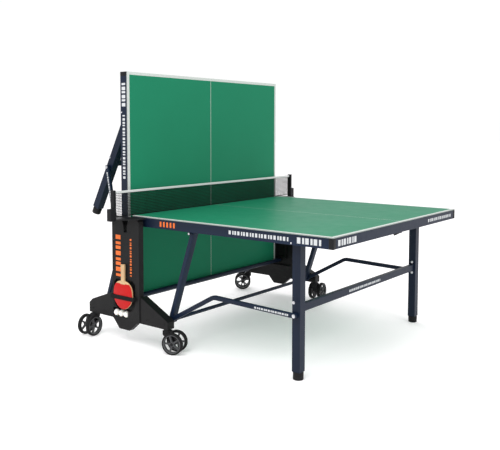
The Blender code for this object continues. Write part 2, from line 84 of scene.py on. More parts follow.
NET_X = sum(corner.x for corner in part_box("net")) / 2
BOARD_LOW, BOARD_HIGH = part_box("front_board")
TOP_Z = BOARD_HIGH.z
UNDER_Z = BOARD_LOW.z
HALF_WIDTH = BOARD_HIGH.y
END_X = BOARD_HIGH.x - NET_X
EDGE_X = BOARD_LOW.x - NET_X
RAIL_LOW, RAIL_HIGH = (corner.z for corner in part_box("front_outer_rail"))
RAIL_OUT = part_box("front_far_rail")[1].y
RAIL_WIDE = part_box("front_far_rail")[1].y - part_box("front_far_rail")[0].y
HALVES = {"front": 1, "rear": -1}
SIDES = {"near": -1, "far": 1}
STRUT_BEND = (0.600, 0.350)
STRUT_END_Z = 0.335
BRACE_TOP = (0.450, 0.691)
# This box also covers the pivot boss, so these two are wider apart than the tube's faces.
BRACE_LOW, BRACE_HIGH = (corner.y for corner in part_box("front_far_brace"))
STRUT_LOW, STRUT_HIGH = (corner.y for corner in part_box("front_far_strut"))
LEG_LOW, LEG_HIGH = (corner.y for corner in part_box("front_far_leg"))
CROSSBAR_LOW, CROSSBAR_HIGH = (corner.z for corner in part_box("front_leg_crossbar"))
ARM_EDGE = 0.0012
EYE_RADIUS, EYE_BORE = 0.018, 0.0113
FOOT_RADIUS = 0.0278
STRAP_SPREAD = 1.6
EDGE_SHADE = 0.45
LEG_BOLT_Z = 0.405
CROSSBAR_BOLT_GAP = 0.014
BRACE_BOLT_OUT = 0.0251
COLUMN_SCREWS_X = (-0.1055, 0.1055)
COLUMN_SCREWS_Z = (0.215, 0.600, 0.705)
BEAM_SCREWS_X = (-0.305, -0.165, 0.165, 0.305)
BEAM_SCREW_Z = 0.165
RUB_STARTS = 0.53


def joint_place(name):
    """A joint's point with x counted from the net."""
    x, y, z = JOINTS[name]["pos_m"]
    return Vector((x - NET_X, y, z))


AXLE = joint_place("front_brace_swing")
LEG_TOP = joint_place("front_leg_fold")
FOOT_AT = {side: joint_place(f"front_{side}_foot_turn") for side in SIDES}


def joint_motion(joint, value):
    axis = Vector(joint["axis"])
    if joint["type"] == "slide":
        return Matrix.Translation(axis * value)
    place = Matrix.Translation(Vector(joint["pos_m"]))
    return place @ Matrix.Rotation(value, 4, axis) @ place.inverted()


def unfolded(body):
    """How a body of a raised half moves as its fold turns to the end and the half lies flat."""
    joint = BODY_JOINT.get(body)
    if joint is None:
        return Matrix.Identity(4)
    leader, ratio = LEADS.get(joint["name"], (joint["name"], 1.0))
    turn = math.radians(JOINTS[leader]["range_deg"][1]) if leader.endswith("_fold") else 0.0
    return unfolded(joint["parent"]) @ joint_motion(joint, turn * ratio)


def flat_to_rest(body):
    """The front half is already flat. The rear one is modelled flat too, then stood up."""
    if not body.startswith("rear") or "caster" in body or "wheel" in body:
        return Matrix.Identity(4)
    return unfolded(body).inverted()


# ------------------------------------------------------------ settings


def length(name, default, description):
    return FloatProperty(name=name, description=description, default=default, min=0, unit="LENGTH")


def colour(name, default, description):
    return FloatVectorProperty(
        name=name, description=description, default=default, size=3, min=0, max=1, subtype="COLOR"
    )


class BoardSettings(bpy.types.PropertyGroup):
    surface: colour("Surface", (0.011, 0.172, 0.090), "Colour of the playing surface")
    line: colour("Lines", (0.50, 0.53, 0.51), "Colour of the lines and the board edges")
    line_width: length("Line Width", 0.018, "Width of the side and end lines")
    centre_line: length("Centre Line", 0.003, "Width of the centre line")
    round: length("Edge Round", 0.0012, "Rounding of the board's edges")


class FrameSettings(bpy.types.PropertyGroup):
    paint: colour("Paint", (0.0035, 0.0085, 0.0215), "Powder coat on the rails, legs and arms")
    cap: colour("Caps", (0.0065, 0.0068, 0.0078), "Plastic corner caps and feet")
    corner: length("Corner Round", 0.0030, "Rounding of the tubes' corners")
    arm_width: length("Arm Width", 0.025, "Width of the braces and struts seen from the side")
    bend: length("Strut Bend", 0.070, "Radius of the bend in each strut")


class BaseSettings(bpy.types.PropertyGroup):
    plastic: colour("Moulding", (0.0058, 0.0059, 0.0062), "Grained black of the columns and beams")
    round: length("Edge Round", 0.0035, "Rounding of the moulded edges")
    screw: length("Screw Head", 0.0065, "Radius of the screw heads")


class MarkSettings(bpy.types.PropertyGroup):
    accent: colour("Accent", (0.66, 0.125, 0.010), "Orange bars on the rail and the columns")
    light: colour("Light Marks", (0.50, 0.52, 0.53), "Pale bars on the frame")
    proud: length("Film", 0.0004, "How far a printed mark stands off its surface")


class NetSettings(bpy.types.PropertyGroup):
    cord: colour("Cord", (0.003, 0.0042, 0.0036), "Colour of the netting")
    tape: colour("Tape", (0.62, 0.64, 0.63), "Colour of the top tape")
    pitch: length("Mesh Pitch", 0.0095, "Distance between the strands")
    strand: length("Strand", 0.0028, "Thickness of one strand")
    tape_height: length("Tape Height", 0.014, "Height of the top tape on each face")


class WheelSettings(bpy.types.PropertyGroup):
    tyre: colour("Tyre", (0.008, 0.008, 0.0085), "Colour of the tyres")
    rim: colour("Rim", (0.060, 0.061, 0.064), "Colour of the spoked rims")
    spokes: IntProperty(name="Spokes", description="Spokes in each rim", default=5, min=3, max=12)
    spoke_width: length("Spoke Width", 0.0085, "Width of a spoke")


class PlayGearSettings(bpy.types.PropertyGroup):
    rubber: colour("Rubber", (0.44, 0.006, 0.006), "Colour of the paddle's rubber")
    wood: colour("Wood", (0.62, 0.42, 0.22), "Colour of the paddle's blade and grip")
    ball: colour("Ball", (0.82, 0.82, 0.78), "Colour of the balls")


class StageSettings(bpy.types.PropertyGroup):
    floor: colour("Floor", (0.905, 0.885, 0.895), "Colour of the floor")
    lens: FloatProperty(name="Lens", description="Focal length of the camera in mm", default=50.8, min=1)


SETTINGS = {
    "table_board": BoardSettings,
    "table_frame": FrameSettings,
    "table_base": BaseSettings,
    "table_marks": MarkSettings,
    "table_net": NetSettings,
    "table_wheels": WheelSettings,
    "table_gear": PlayGearSettings,
    "table_stage": StageSettings,
}


def settings(name):
    return getattr(bpy.context.scene, name)


# ------------------------------------------------------------ materials


def add_node(tree, kind, inputs=None, **facts):
    """A node with its facts set and its inputs filled with numbers or linked to sockets."""
    made = tree.nodes.new(kind)
    for key, value in facts.items():
        setattr(made, key, value)
    for key, value in (inputs or {}).items():
        if isinstance(value, bpy.types.NodeSocket):
            tree.links.new(value, made.inputs[key])
        else:
            made.inputs[key].default_value = value
    return made


def maths(tree, operation, a, b=0.0):
    return add_node(tree, "ShaderNodeMath", {0: a, 1: b}, operation=operation).outputs[0]


def noise(tree, place, scale, detail=3.0, roughness=0.55):
    inputs = {"Vector": place, "Scale": scale, "Detail": detail, "Roughness": roughness}
    return add_node(tree, "ShaderNodeTexNoise", inputs).outputs["Fac"]


def remap(tree, value, low, high, low_in=0.0, high_in=1.0):
    inputs = {"Value": value, "From Min": low_in, "From Max": high_in, "To Min": low, "To Max": high}
    return add_node(tree, "ShaderNodeMapRange", inputs).outputs[0]


def blend_colour(tree, factor, a, b, mode="MIX"):
    made = add_node(tree, "ShaderNodeMix", data_type="RGBA", blend_type=mode)
    for socket, value in (("Factor_Float", factor), ("A_Color", a), ("B_Color", b)):
        target = next(s for s in made.inputs if s.identifier == socket)
        if isinstance(value, bpy.types.NodeSocket):
            tree.links.new(value, target)
        else:
            target.default_value = value
    return next(s for s in made.outputs if s.identifier == "Result_Color")


def bump(tree, height, strength, distance, after=None):
    inputs = {"Height": height, "Strength": strength, "Distance": distance}
    if after is not None:
        inputs["Normal"] = after
    return add_node(tree, "ShaderNodeBump", inputs).outputs[0]


def scaled(tree, place, scale):
    return add_node(tree, "ShaderNodeMapping", {"Vector": place, "Scale": scale}).outputs[0]


def pits(tree, place, scale):
    inputs = {"Vector": place, "Scale": scale}
    return add_node(tree, "ShaderNodeTexVoronoi", inputs).outputs["Distance"]


def shade(rgb, by):
    return tuple(min(1.0, c * by) for c in rgb) + (1.0,)


def begin(name, roughness, metallic=0.0, specular=0.5, coat=0.0):
    """A new material, its Principled shader and the Object coordinates that its patterns follow."""
    made = bpy.data.materials.new(name)
    made.use_nodes = True
    tree = made.node_tree
    shader = tree.nodes["Principled BSDF"]
    shader.inputs["Roughness"].default_value = roughness
    shader.inputs["Metallic"].default_value = metallic
    shader.inputs["Specular IOR Level"].default_value = specular
    shader.inputs["Coat Weight"].default_value = coat
    place = add_node(tree, "ShaderNodeTexCoord").outputs["Object"]
    return made, tree, shader, place


def finish(tree, shader, colour_out, rough_out, normal_out):
    tree.links.new(colour_out, shader.inputs["Base Color"])
    tree.links.new(rough_out, shader.inputs["Roughness"])
    tree.links.new(normal_out, shader.inputs["Normal"])


def mottled(tree, place, rgb, scale, spread):
    """Colour that drifts a little lighter and darker over the piece."""
    drift = noise(tree, place, scale, 4.0)
    return blend_colour(tree, drift, shade(rgb, 1 - spread), shade(rgb, 1 + spread))


def rubbed_edges(tree, base, rgb, most, full_at, by):
    """Paler colour where the corners are worn."""
    worn = add_node(tree, "ShaderNodeNewGeometry").outputs["Pointiness"]
    edge = remap(tree, worn, 0.0, most, RUB_STARTS, full_at)
    return blend_colour(tree, edge, base, shade(rgb, by))


def board_material(rgb, line_rgb, line_width, centre_line):
    """Sealed green sheet with painted lines. The UV map counts metres from the net edge and the middle."""
    made, tree, shader, place = begin("board_sealed_green", 0.42, specular=0.06)
    uv = add_node(tree, "ShaderNodeUVMap", uv_map="board").outputs[0]
    parts = add_node(tree, "ShaderNodeSeparateXYZ", {0: uv})
    across = maths(tree, "ABSOLUTE", parts.outputs["Y"])
    side = maths(tree, "GREATER_THAN", across, HALF_WIDTH - line_width)
    end = maths(tree, "GREATER_THAN", parts.outputs["X"], END_X - line_width)
    middle = maths(tree, "LESS_THAN", across, centre_line / 2)
    lines = maths(tree, "MAXIMUM", maths(tree, "MAXIMUM", side, end), middle)
    green = mottled(tree, place, rgb, 2.5, 0.07)
    worn = remap(tree, noise(tree, place, 160.0, 3.0), 0.93, 1.0, 0.35, 0.6)
    painted = blend_colour(tree, maths(tree, "MULTIPLY", lines, worn), green, (*line_rgb, 1))
    rough = remap(tree, noise(tree, place, 14.0, 4.0), 0.38, 0.50)
    grain = bump(tree, noise(tree, place, 900.0, 2.0), 0.16, 0.0004)
    relief = bump(tree, lines, 0.5, 0.00008, grain)
    finish(tree, shader, painted, rough, relief)
    return made


def powder_material(name, rgb, roughness=0.42):
    """Powder coat: a fine orange peel, slightly uneven gloss and paler rubbed corners."""
    made, tree, shader, place = begin(name, roughness, specular=0.18)
    base = mottled(tree, place, rgb, 6.0, 0.10)
    rubbed = rubbed_edges(tree, base, rgb, 0.35, 0.62, 3.0)
    rough = remap(tree, noise(tree, place, 35.0, 3.0), roughness - 0.07, roughness + 0.08)
    peel = bump(tree, noise(tree, place, 420.0, 2.0), 0.22, 0.0004)
    finish(tree, shader, rubbed, rough, peel)
    return made


def moulded_material(name, rgb, roughness=0.5, grain=1400.0, depth=0.35):
    """Textured moulding: spark-eroded grain with faint flow marks and rubbed edges."""
    made, tree, shader, place = begin(name, roughness, specular=0.16)
    flow = scaled(tree, place, (1.0, 1.0, 0.25))
    base = mottled(tree, flow, rgb, 9.0, 0.14)
    rubbed = rubbed_edges(tree, base, rgb, 0.5, 0.65, 2.6)
    cells = pits(tree, place, grain)
    rough = remap(tree, noise(tree, place, 24.0, 4.0), roughness - 0.06, roughness + 0.10)
    finish(tree, shader, rubbed, rough, bump(tree, cells, depth, 0.0003))
    return made


def metal_material(name, rgb, roughness=0.28):
    """Zinc-plated or turned steel with fine lathe lines and dull specks."""
    made, tree, shader, place = begin(name, roughness, metallic=1.0)
    drawn = scaled(tree, place, (40.0, 1.0, 40.0))
    lines = noise(tree, drawn, 30.0, 3.0)
    base = mottled(tree, place, rgb, 60.0, 0.16)
    rough = remap(tree, lines, roughness - 0.06, roughness + 0.14)
    finish(tree, shader, base, rough, bump(tree, lines, 0.12, 0.0002))
    return made


def woven_material(name, rgb, pitch, roughness=0.82):
    """Plain weave: two crossing thread waves, with lint in the colour and painted shade in the hollows
    between the threads.
    """
    made, tree, shader, place = begin(name, roughness, specular=0.12)
    shader.inputs["Sheen Weight"].default_value = 0.03
    waves = []
    for axis in ("Y", "Z"):
        inputs = {"Vector": place, "Scale": math.pi / pitch / 10, "Distortion": 0.4, "Detail": 1.0}
        wave = add_node(tree, "ShaderNodeTexWave", inputs, bands_direction=axis)
        waves.append(wave.outputs["Fac"])
    weave = maths(tree, "MULTIPLY", waves[0], waves[1])
    lint = noise(tree, place, 300.0, 3.0)
    base = blend_colour(tree, lint, shade(rgb, 0.82), shade(rgb, 1.12))
    # Painted shade: the colour darkens where the weave is low, in the hollows between the threads.
    shaded_weave = blend_colour(tree, remap(tree, weave, 0.35, 0.0), base, shade(rgb, 0.55))
    rough = remap(tree, lint, roughness - 0.08, roughness + 0.08)
    finish(tree, shader, shaded_weave, rough, bump(tree, weave, 0.5, 0.0004))
    return made


def tyre_material(rgb):
    """Soft rubber with dust in its grain and a duller tread."""
    made, tree, shader, place = begin("tyre_rubber", 0.7, specular=0.15)
    dust = remap(tree, noise(tree, place, 70.0, 5.0, 0.65), 0.0, 0.6, 0.5, 0.78)
    base = blend_colour(tree, dust, (*rgb, 1), shade(rgb, 3.2))
    grain = noise(tree, place, 700.0, 3.0)
    rough = remap(tree, grain, 0.62, 0.82)
    finish(tree, shader, base, rough, bump(tree, grain, 0.3, 0.0003))
    return made


def wood_material(rgb):
    """Plywood: long growth lines down the blade, with ply layers where the edge shows."""
    made, tree, shader, place = begin("paddle_plywood", 0.48, specular=0.4, coat=0.08)
    drawn = scaled(tree, place, (60.0, 8.0, 3.0))
    inputs = {"Vector": drawn, "Scale": 1.6, "Distortion": 2.5, "Detail": 3.0, "Detail Scale": 1.5}
    rings = add_node(tree, "ShaderNodeTexWave", inputs, bands_direction="X").outputs["Fac"]
    parts = add_node(tree, "ShaderNodeSeparateXYZ", {0: place})
    ply = maths(tree, "GREATER_THAN", maths(tree, "PINGPONG", parts.outputs["Y"], 0.0011), 0.00075)
    grain = blend_colour(tree, remap(tree, rings, 0.0, 0.55), (*rgb, 1), shade(rgb, 0.62))
    layered = blend_colour(tree, maths(tree, "MULTIPLY", ply, 0.28), grain, shade(rgb, 0.4))
    rough = remap(tree, rings, 0.42, 0.56)
    finish(tree, shader, layered, rough, bump(tree, rings, 0.15, 0.0003))
    return made


def rubber_sheet_material(rgb):
    """Paddle rubber: even, slightly tacky sheen with pin-sized texture and a few ball marks."""
    made, tree, shader, place = begin("paddle_rubber", 0.45, specular=0.15)
    marks = remap(tree, noise(tree, place, 38.0, 3.0), 0.0, 0.35, 0.55, 0.8)
    base = blend_colour(tree, marks, (*rgb, 1), shade(rgb, 0.72))
    cells = pits(tree, place, 900.0)
    rough = remap(tree, marks, 0.40, 0.56, 0.0, 0.35)
    finish(tree, shader, base, rough, bump(tree, cells, 0.2, 0.0002))
    return made


def ball_material(rgb):
    """Matt white shell with faint scuffs and a moulding seam at mid height."""
    made, tree, shader, place = begin("ball_shell", 0.38, specular=0.5)
    shader.inputs["Subsurface Weight"].default_value = 0.08
    shader.inputs["Subsurface Scale"].default_value = 0.004
    scuff = remap(tree, noise(tree, place, 120.0, 5.0, 0.7), 0.0, 0.5, 0.56, 0.75)
    base = blend_colour(tree, scuff, (*rgb, 1), shade(rgb, 0.8))
    parts = add_node(tree, "ShaderNodeSeparateXYZ", {0: place})
    middle = sum(corner.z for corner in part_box("ball_1")) / 2
    off = maths(tree, "ABSOLUTE", maths(tree, "SUBTRACT", parts.outputs["Z"], middle))
    seam = remap(tree, off, 0.55, 0.0, 0.0, 0.0005)
    seamed = blend_colour(tree, seam, base, shade(rgb, 0.62))
    finish(tree, shader, seamed, remap(tree, scuff, 0.34, 0.5), bump(tree, scuff, 0.1, 0.0002))
    return made


def print_material(name, rgb):
    """Screen-printed film: nearly even ink with tiny pinholes and a soft satin."""
    made, tree, shader, place = begin(name, 0.5, specular=0.4)
    holes = remap(tree, noise(tree, place, 500.0, 3.0), 0.0, 0.35, 0.62, 0.75)
    base = blend_colour(tree, holes, mottled(tree, place, rgb, 20.0, 0.05), shade(rgb, 0.45))
    rough = remap(tree, noise(tree, place, 80.0), 0.42, 0.58)
    finish(tree, shader, base, rough, bump(tree, holes, 0.1, 0.0001))
    return made


def floor_material(rgb):
    made, tree, shader, place = begin("studio_floor", 0.65, specular=0.2)
    base = mottled(tree, place, rgb, 0.4, 0.008)
    shader.inputs["Emission Color"].default_value = (1.0, 1.0, 1.0, 1.0)
    shader.inputs["Emission Strength"].default_value = 0.22
    rough = remap(tree, noise(tree, place, 3.0), 0.55, 0.7)
    finish(tree, shader, base, rough, bump(tree, noise(tree, place, 60.0), 0.02, 0.0005))
    return made


def build_materials():
    """Every finish of the table under a plain name."""
    board = settings("table_board")
    steel = settings("table_frame")
    base = settings("table_base")
    marks = settings("table_marks")
    net = settings("table_net")
    wheels = settings("table_wheels")
    gear = settings("table_gear")
    return {
        "board": board_material(board.surface, board.line, board.line_width, board.centre_line),
        "board_edge": print_material("board_edge_pale", [part * EDGE_SHADE for part in board.line]),
        "board_back": moulded_material("board_back_green", board.surface, 0.6, 500.0, 0.2),
        "powder": powder_material("powder_navy", steel.paint),
        "cap": moulded_material("cap_black", steel.cap, 0.45),
        "moulding": moulded_material("moulding_black", base.plastic, 0.48),
        "zinc": metal_material("zinc_fasteners", (0.62, 0.63, 0.65)),
        "shaft": metal_material("shaft_steel", (0.45, 0.46, 0.48), 0.34),
        "accent": print_material("print_orange", marks.accent),
        "light": print_material("print_pale", marks.light),
        "cord": woven_material("net_cord", net.cord, 0.0009),
        "tape": woven_material("net_tape", net.tape, 0.0012),
        "strap": woven_material("strap_web", (0.007, 0.007, 0.0075), 0.0020),
        "tyre": tyre_material(wheels.tyre),
        "rim": moulded_material("rim_grey", wheels.rim, 0.40),
        "rubber": rubber_sheet_material(gear.rubber),
        "wood": wood_material(gear.wood),
        "ball": ball_material(gear.ball),
    }


LOOKS = {}


def look(name):
    if not LOOKS:
        LOOKS.update(build_materials())
    return LOOKS[name]


# ------------------------------------------------------------ meshes


def closed_up(name, mesh):
    """Mesh data made from an open mesh, which is freed."""
    data = bpy.data.meshes.new(name)
    mesh.to_mesh(data)
    mesh.free()
    return data


def opened(data):
    """An open mesh made from mesh data, which is removed."""
    mesh = bmesh.new()
    mesh.from_mesh(data)
    bpy.data.meshes.remove(data)
    return mesh


def publish(name, mesh, body, finish_name, slot, replaced=(), **facts):
    """Stands the mesh where its body is, gives it its finish and edges, and rides it on the body."""
    mesh.transform(flat_to_rest(body) @ Matrix.Translation((NET_X, 0, 0)))
    return place_data(name, closed_up(name, mesh), body, finish_name, slot, replaced, **facts)


def place_data(name, data, body, finish_name, slot, replaced=(), bevel=0.0, sharp=35, also=()):
    """The same for mesh data that already stands in the frame."""
    parts = [face.material_index for face in data.polygons]
    data.materials.clear()
    for one in (finish_name, *also):
        data.materials.append(look(one))
    for face, part in zip(data.polygons, parts):
        face.material_index = min(part, len(also))
    piece = bpy.data.objects.new(name, data)
    bpy.context.scene.collection.objects.link(piece)
    data.shade_smooth()
    data.set_sharp_from_angle(angle=math.radians(sharp))
    if bevel:
        cut = piece.modifiers.new("Edges", "BEVEL")
        cut.width = bevel
        cut.segments = 3
        cut.limit_method = "ANGLE"
        cut.angle_limit = math.radians(sharp)
        cut.harden_normals = True
        cut.use_clamp_overlap = True
    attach(piece, body)
    if replaced:
        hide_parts(*replaced)
    return piece


def softened(node, name, finish_name, bevel, sharp=35):
    """A CAD shape with its facets merged and its edges rounded, in place of the plain node."""
    mesh = bmesh.new()
    mesh.from_mesh(NODES[node].data)
    bmesh.ops.remove_doubles(mesh, verts=mesh.verts, dist=0.00003)
    bmesh.ops.dissolve_limit(mesh, angle_limit=math.radians(1), verts=mesh.verts, edges=mesh.edges)
    data = closed_up(name, mesh)
    return place_data(name, data, NODE_BODY[node], finish_name, SLOTS[node], (node,), bevel, sharp)


def merged(parts):
    """Several meshes as one."""
    whole = bmesh.new()
    for part in parts:
        data = closed_up("part", part)
        whole.from_mesh(data)
        bpy.data.meshes.remove(data)
    return whole


def block(low, high, bevel=0.0, segments=2):
    mesh = bmesh.new()
    size = Vector(high) - Vector(low)
    middle = (Vector(high) + Vector(low)) / 2
    bmesh.ops.create_cube(mesh, size=1, matrix=Matrix.Translation(middle) @ Matrix.Diagonal((*size, 1)))
    if bevel:
        bmesh.ops.bevel(mesh, geom=mesh.edges, offset=bevel, segments=segments, affect="EDGES", profile=0.5)
    return mesh


def skin(mesh, pairs, ends, closed=True):
    """Faces between pairs of rings and over the end loops."""
    for here, there in pairs:
        count = len(here)
        for i in range(count if closed else count - 1):
            j = (i + 1) % count
            mesh.faces.new((here[i], here[j], there[j], there[i]))
    for loop in ends:
        mesh.faces.new(loop)
    bmesh.ops.recalc_face_normals(mesh, faces=mesh.faces)
    return mesh


def chamfered(reach, radius, edge):
    """The profile of a cylinder with cut edges."""
    half = [(reach - edge, radius), (reach, radius - edge)]
    return [(-a, r) for a, r in reversed(half)] + half


def turned(profile, centre, axis, segments=48, closed=True):
    """A profile of axial place and radius turned about an axis through the centre."""
    mesh = bmesh.new()
    centre = Vector(centre)
    axis = Vector(axis).normalized()
    side = axis.orthogonal().normalized()
    rings = []
    for step in range(segments):
        out = Matrix.Rotation(2 * math.pi * step / segments, 3, axis) @ side
        rings.append([mesh.verts.new(centre + axis * a + out * r) for a, r in profile])
    ends = [] if closed else [[ring[end] for ring in rings] for end in (0, -1)]
    return skin(mesh, zip(rings, rings[1:] + rings[:1]), ends, closed)


def round_section(half_a, half_b, corner, steps=4):
    """A rectangle with round corners, as pairs."""
    points = []
    for ca, cb, first in ((1, 1, 0), (-1, 1, 90), (-1, -1, 180), (1, -1, 270)):
        for step in range(steps + 1):
            turn = math.radians(first + 90 * step / steps)
            a = ca * (half_a - corner) + corner * math.cos(turn)
            b = cb * (half_b - corner) + corner * math.sin(turn)
            points.append((a, b))
    return points


def swept(path, across, section):
    """A section swept along a path: its first number lies in the path's plane, its second across it."""
    mesh = bmesh.new()
    across = Vector(across).normalized()
    points = [Vector(p) for p in path]
    rings = []
    for i, point in enumerate(points):
        before = points[i] - points[max(i - 1, 0)]
        after = points[min(i + 1, len(points) - 1)] - points[i]
        along = (before.normalized() + after.normalized()).normalized()
        normal = along.cross(across).normalized()
        rings.append([mesh.verts.new(point + normal * a + across * b) for a, b in section])
    return skin(mesh, zip(rings, rings[1:]), (rings[0], rings[-1]))


def bent_path(start, corner, stop, radius, steps=10):
    """Straight runs joined by an arc that touches both."""
    start, corner, stop = Vector(start), Vector(corner), Vector(stop)
    back = (start - corner).normalized()
    ahead = (stop - corner).normalized()
    half = back.angle(ahead) / 2
    reach = radius / math.tan(half)
    centre = corner + (back + ahead).normalized() * (radius / math.sin(half))
    first = corner + back * reach - centre
    last = corner + ahead * reach - centre
    arc = [centre + first.slerp(last, step / steps) * radius for step in range(steps + 1)]
    return [start, *arc, stop]


# ------------------------------------------------------------ geometry node trees


def new_tree(name, inputs):
    """A tree with one geometry input, named inputs and one geometry output."""
    tree = bpy.data.node_groups.new(name, "GeometryNodeTree")
    tree.interface.new_socket("Geometry", in_out="INPUT", socket_type="NodeSocketGeometry")
    for label, kind, default in inputs:
        socket = tree.interface.new_socket(label, in_out="INPUT", socket_type=kind)
        if default is not None:
            socket.default_value = default
    tree.interface.new_socket("Geometry", in_out="OUTPUT", socket_type="NodeSocketGeometry")
    start = tree.nodes.new("NodeGroupInput")
    stop = tree.nodes.new("NodeGroupOutput")
    return tree, start.outputs, stop.inputs


def end_tree(tree, geometry, material, target):
    """Realize Instances and Set Material close every tree."""
    real = add_node(tree, "GeometryNodeRealizeInstances", {"Geometry": geometry}).outputs[0]
    made = add_node(tree, "GeometryNodeSetMaterial", {"Geometry": real, "Material": material})
    tree.links.new(made.outputs[0], target)


def named_vector(tree, name):
    made = add_node(tree, "GeometryNodeInputNamedAttribute", data_type="FLOAT_VECTOR")
    made.inputs["Name"].default_value = name
    return made.outputs["Attribute"]


def end_on_points(tree, given, out, inputs):
    """Puts an instance on every point and ends the tree."""
    spread = add_node(tree, "GeometryNodeInstanceOnPoints", inputs).outputs[0]
    end_tree(tree, spread, given["Material"], out[0])
    return tree


def fastener_tree():
    """A washer and a domed or six-sided head on every point, turned as the point says."""
    facts = [
        ("Head Radius", "NodeSocketFloat", 0.0065),
        ("Head Height", "NodeSocketFloat", 0.0040),
        ("Sides", "NodeSocketInt", 6),
        ("Washer Radius", "NodeSocketFloat", 0.0090),
        ("Material", "NodeSocketMaterial", None),
    ]
    tree, given, out = new_tree("fastener_row", facts)
    washer = add_node(
        tree,
        "GeometryNodeMeshCylinder",
        {"Vertices": 24, "Radius": given["Washer Radius"], "Depth": 0.0012},
    ).outputs["Mesh"]
    height = given["Head Height"]
    body = add_node(
        tree,
        "GeometryNodeMeshCylinder",
        {"Vertices": given["Sides"], "Radius": given["Head Radius"], "Depth": height},
    ).outputs["Mesh"]
    lift = add_node(tree, "ShaderNodeCombineXYZ", {"Z": maths(tree, "MULTIPLY", height, 0.5)}).outputs[0]
    body = add_node(tree, "GeometryNodeTransform", {"Geometry": body, "Translation": lift}).outputs[0]
    crown = add_node(
        tree,
        "GeometryNodeMeshCone",
        {
            "Vertices": given["Sides"],
            "Radius Bottom": given["Head Radius"],
            "Radius Top": maths(tree, "MULTIPLY", given["Head Radius"], 0.72),
            "Depth": 0.0012,
        },
    ).outputs["Mesh"]
    top = add_node(tree, "ShaderNodeCombineXYZ", {"Z": height}).outputs[0]
    crown = add_node(tree, "GeometryNodeTransform", {"Geometry": crown, "Translation": top}).outputs[0]
    joined = tree.nodes.new("GeometryNodeJoinGeometry")
    for piece in (washer, body, crown):
        tree.links.new(piece, joined.inputs[0])
    turn = named_vector(tree, "turn")
    inputs = {"Points": given["Geometry"], "Instance": joined.outputs[0], "Rotation": turn}
    return end_on_points(tree, given, out, inputs)


def bar_tree():
    """A flat bar on every point, as printed film: its size is the point's own."""
    tree, given, out = new_tree("printed_bars", [("Material", "NodeSocketMaterial", None)])
    bar = add_node(tree, "GeometryNodeMeshCube", {"Size": (1.0, 1.0, 1.0)}).outputs["Mesh"]
    inputs = {
        "Points": given["Geometry"],
        "Instance": bar,
        "Rotation": named_vector(tree, "turn"),
        "Scale": named_vector(tree, "size"),
    }
    return end_on_points(tree, given, out, inputs)


def netting_tree():
    """Square netting in the y-z plane: a grid's edges as round strands."""
    facts = [
        ("Length", "NodeSocketFloat", 1.8),
        ("Height", "NodeSocketFloat", 0.14),
        ("Pitch", "NodeSocketFloat", 0.01),
        ("Strand", "NodeSocketFloat", 0.0015),
        ("Material", "NodeSocketMaterial", None),
    ]
    tree, given, out = new_tree("netting", facts)
    along, up = (
        maths(tree, "ADD", maths(tree, "ROUND", maths(tree, "DIVIDE", given[run], given["Pitch"])), 1.0)
        for run in ("Length", "Height")
    )
    grid = add_node(
        tree,
        "GeometryNodeMeshGrid",
        {"Size X": given["Height"], "Size Y": given["Length"], "Vertices X": up, "Vertices Y": along},
    ).outputs["Mesh"]
    stood = add_node(
        tree, "GeometryNodeTransform", {"Geometry": grid, "Rotation": (0.0, math.pi / 2, 0.0)}
    ).outputs[0]
    curves = add_node(tree, "GeometryNodeMeshToCurve", {"Mesh": stood}).outputs[0]
    ring = add_node(
        tree,
        "GeometryNodeCurvePrimitiveCircle",
        {"Resolution": 4, "Radius": maths(tree, "MULTIPLY", given["Strand"], 0.5)},
    ).outputs["Curve"]
    strands = add_node(
        tree,
        "GeometryNodeCurveToMesh",
        {"Curve": curves, "Profile Curve": ring, "Fill Caps": True},
    ).outputs[0]
    end_tree(tree, strands, given["Material"], out[0])
    return tree


def spoke_tree():
    """Spokes round a hub in the x-z plane, each a straight bar."""
    facts = [
        ("Spokes", "NodeSocketInt", 5),
        ("Inner Radius", "NodeSocketFloat", 0.010),
        ("Outer Radius", "NodeSocketFloat", 0.048),
        ("Width", "NodeSocketFloat", 0.009),
        ("Depth", "NodeSocketFloat", 0.012),
        ("Material", "NodeSocketMaterial", None),
    ]
    tree, given, out = new_tree("wheel_spokes", facts)
    span = maths(tree, "SUBTRACT", given["Outer Radius"], given["Inner Radius"])
    middle = maths(tree, "MULTIPLY", maths(tree, "ADD", given["Outer Radius"], given["Inner Radius"]), 0.5)
    size = add_node(
        tree, "ShaderNodeCombineXYZ", {"X": span, "Y": given["Depth"], "Z": given["Width"]}
    ).outputs[0]
    bar = add_node(
        tree,
        "GeometryNodeMeshCube",
        {"Size": size, "Vertices X": 4, "Vertices Y": 2, "Vertices Z": 2},
    ).outputs["Mesh"]
    points = add_node(
        tree,
        "GeometryNodeMeshCircle",
        {"Vertices": given["Spokes"], "Radius": middle},
    ).outputs["Mesh"]
    stood = add_node(
        tree, "GeometryNodeTransform", {"Geometry": points, "Rotation": (math.pi / 2, 0.0, 0.0)}
    ).outputs[0]
    step = maths(tree, "DIVIDE", 2 * math.pi, given["Spokes"])
    index = add_node(tree, "GeometryNodeInputIndex").outputs[0]
    angle = maths(tree, "MULTIPLY", maths(tree, "MULTIPLY", index, step), -1.0)
    turn = add_node(tree, "ShaderNodeCombineXYZ", {"Y": angle}).outputs[0]
    inputs = {"Points": stood, "Instance": bar, "Rotation": turn}
    return end_on_points(tree, given, out, inputs)


TREES = {}
TREE_MAKERS = {
    "fastener": fastener_tree,
    "bars": bar_tree,
    "netting": netting_tree,
    "spokes": spoke_tree,
}


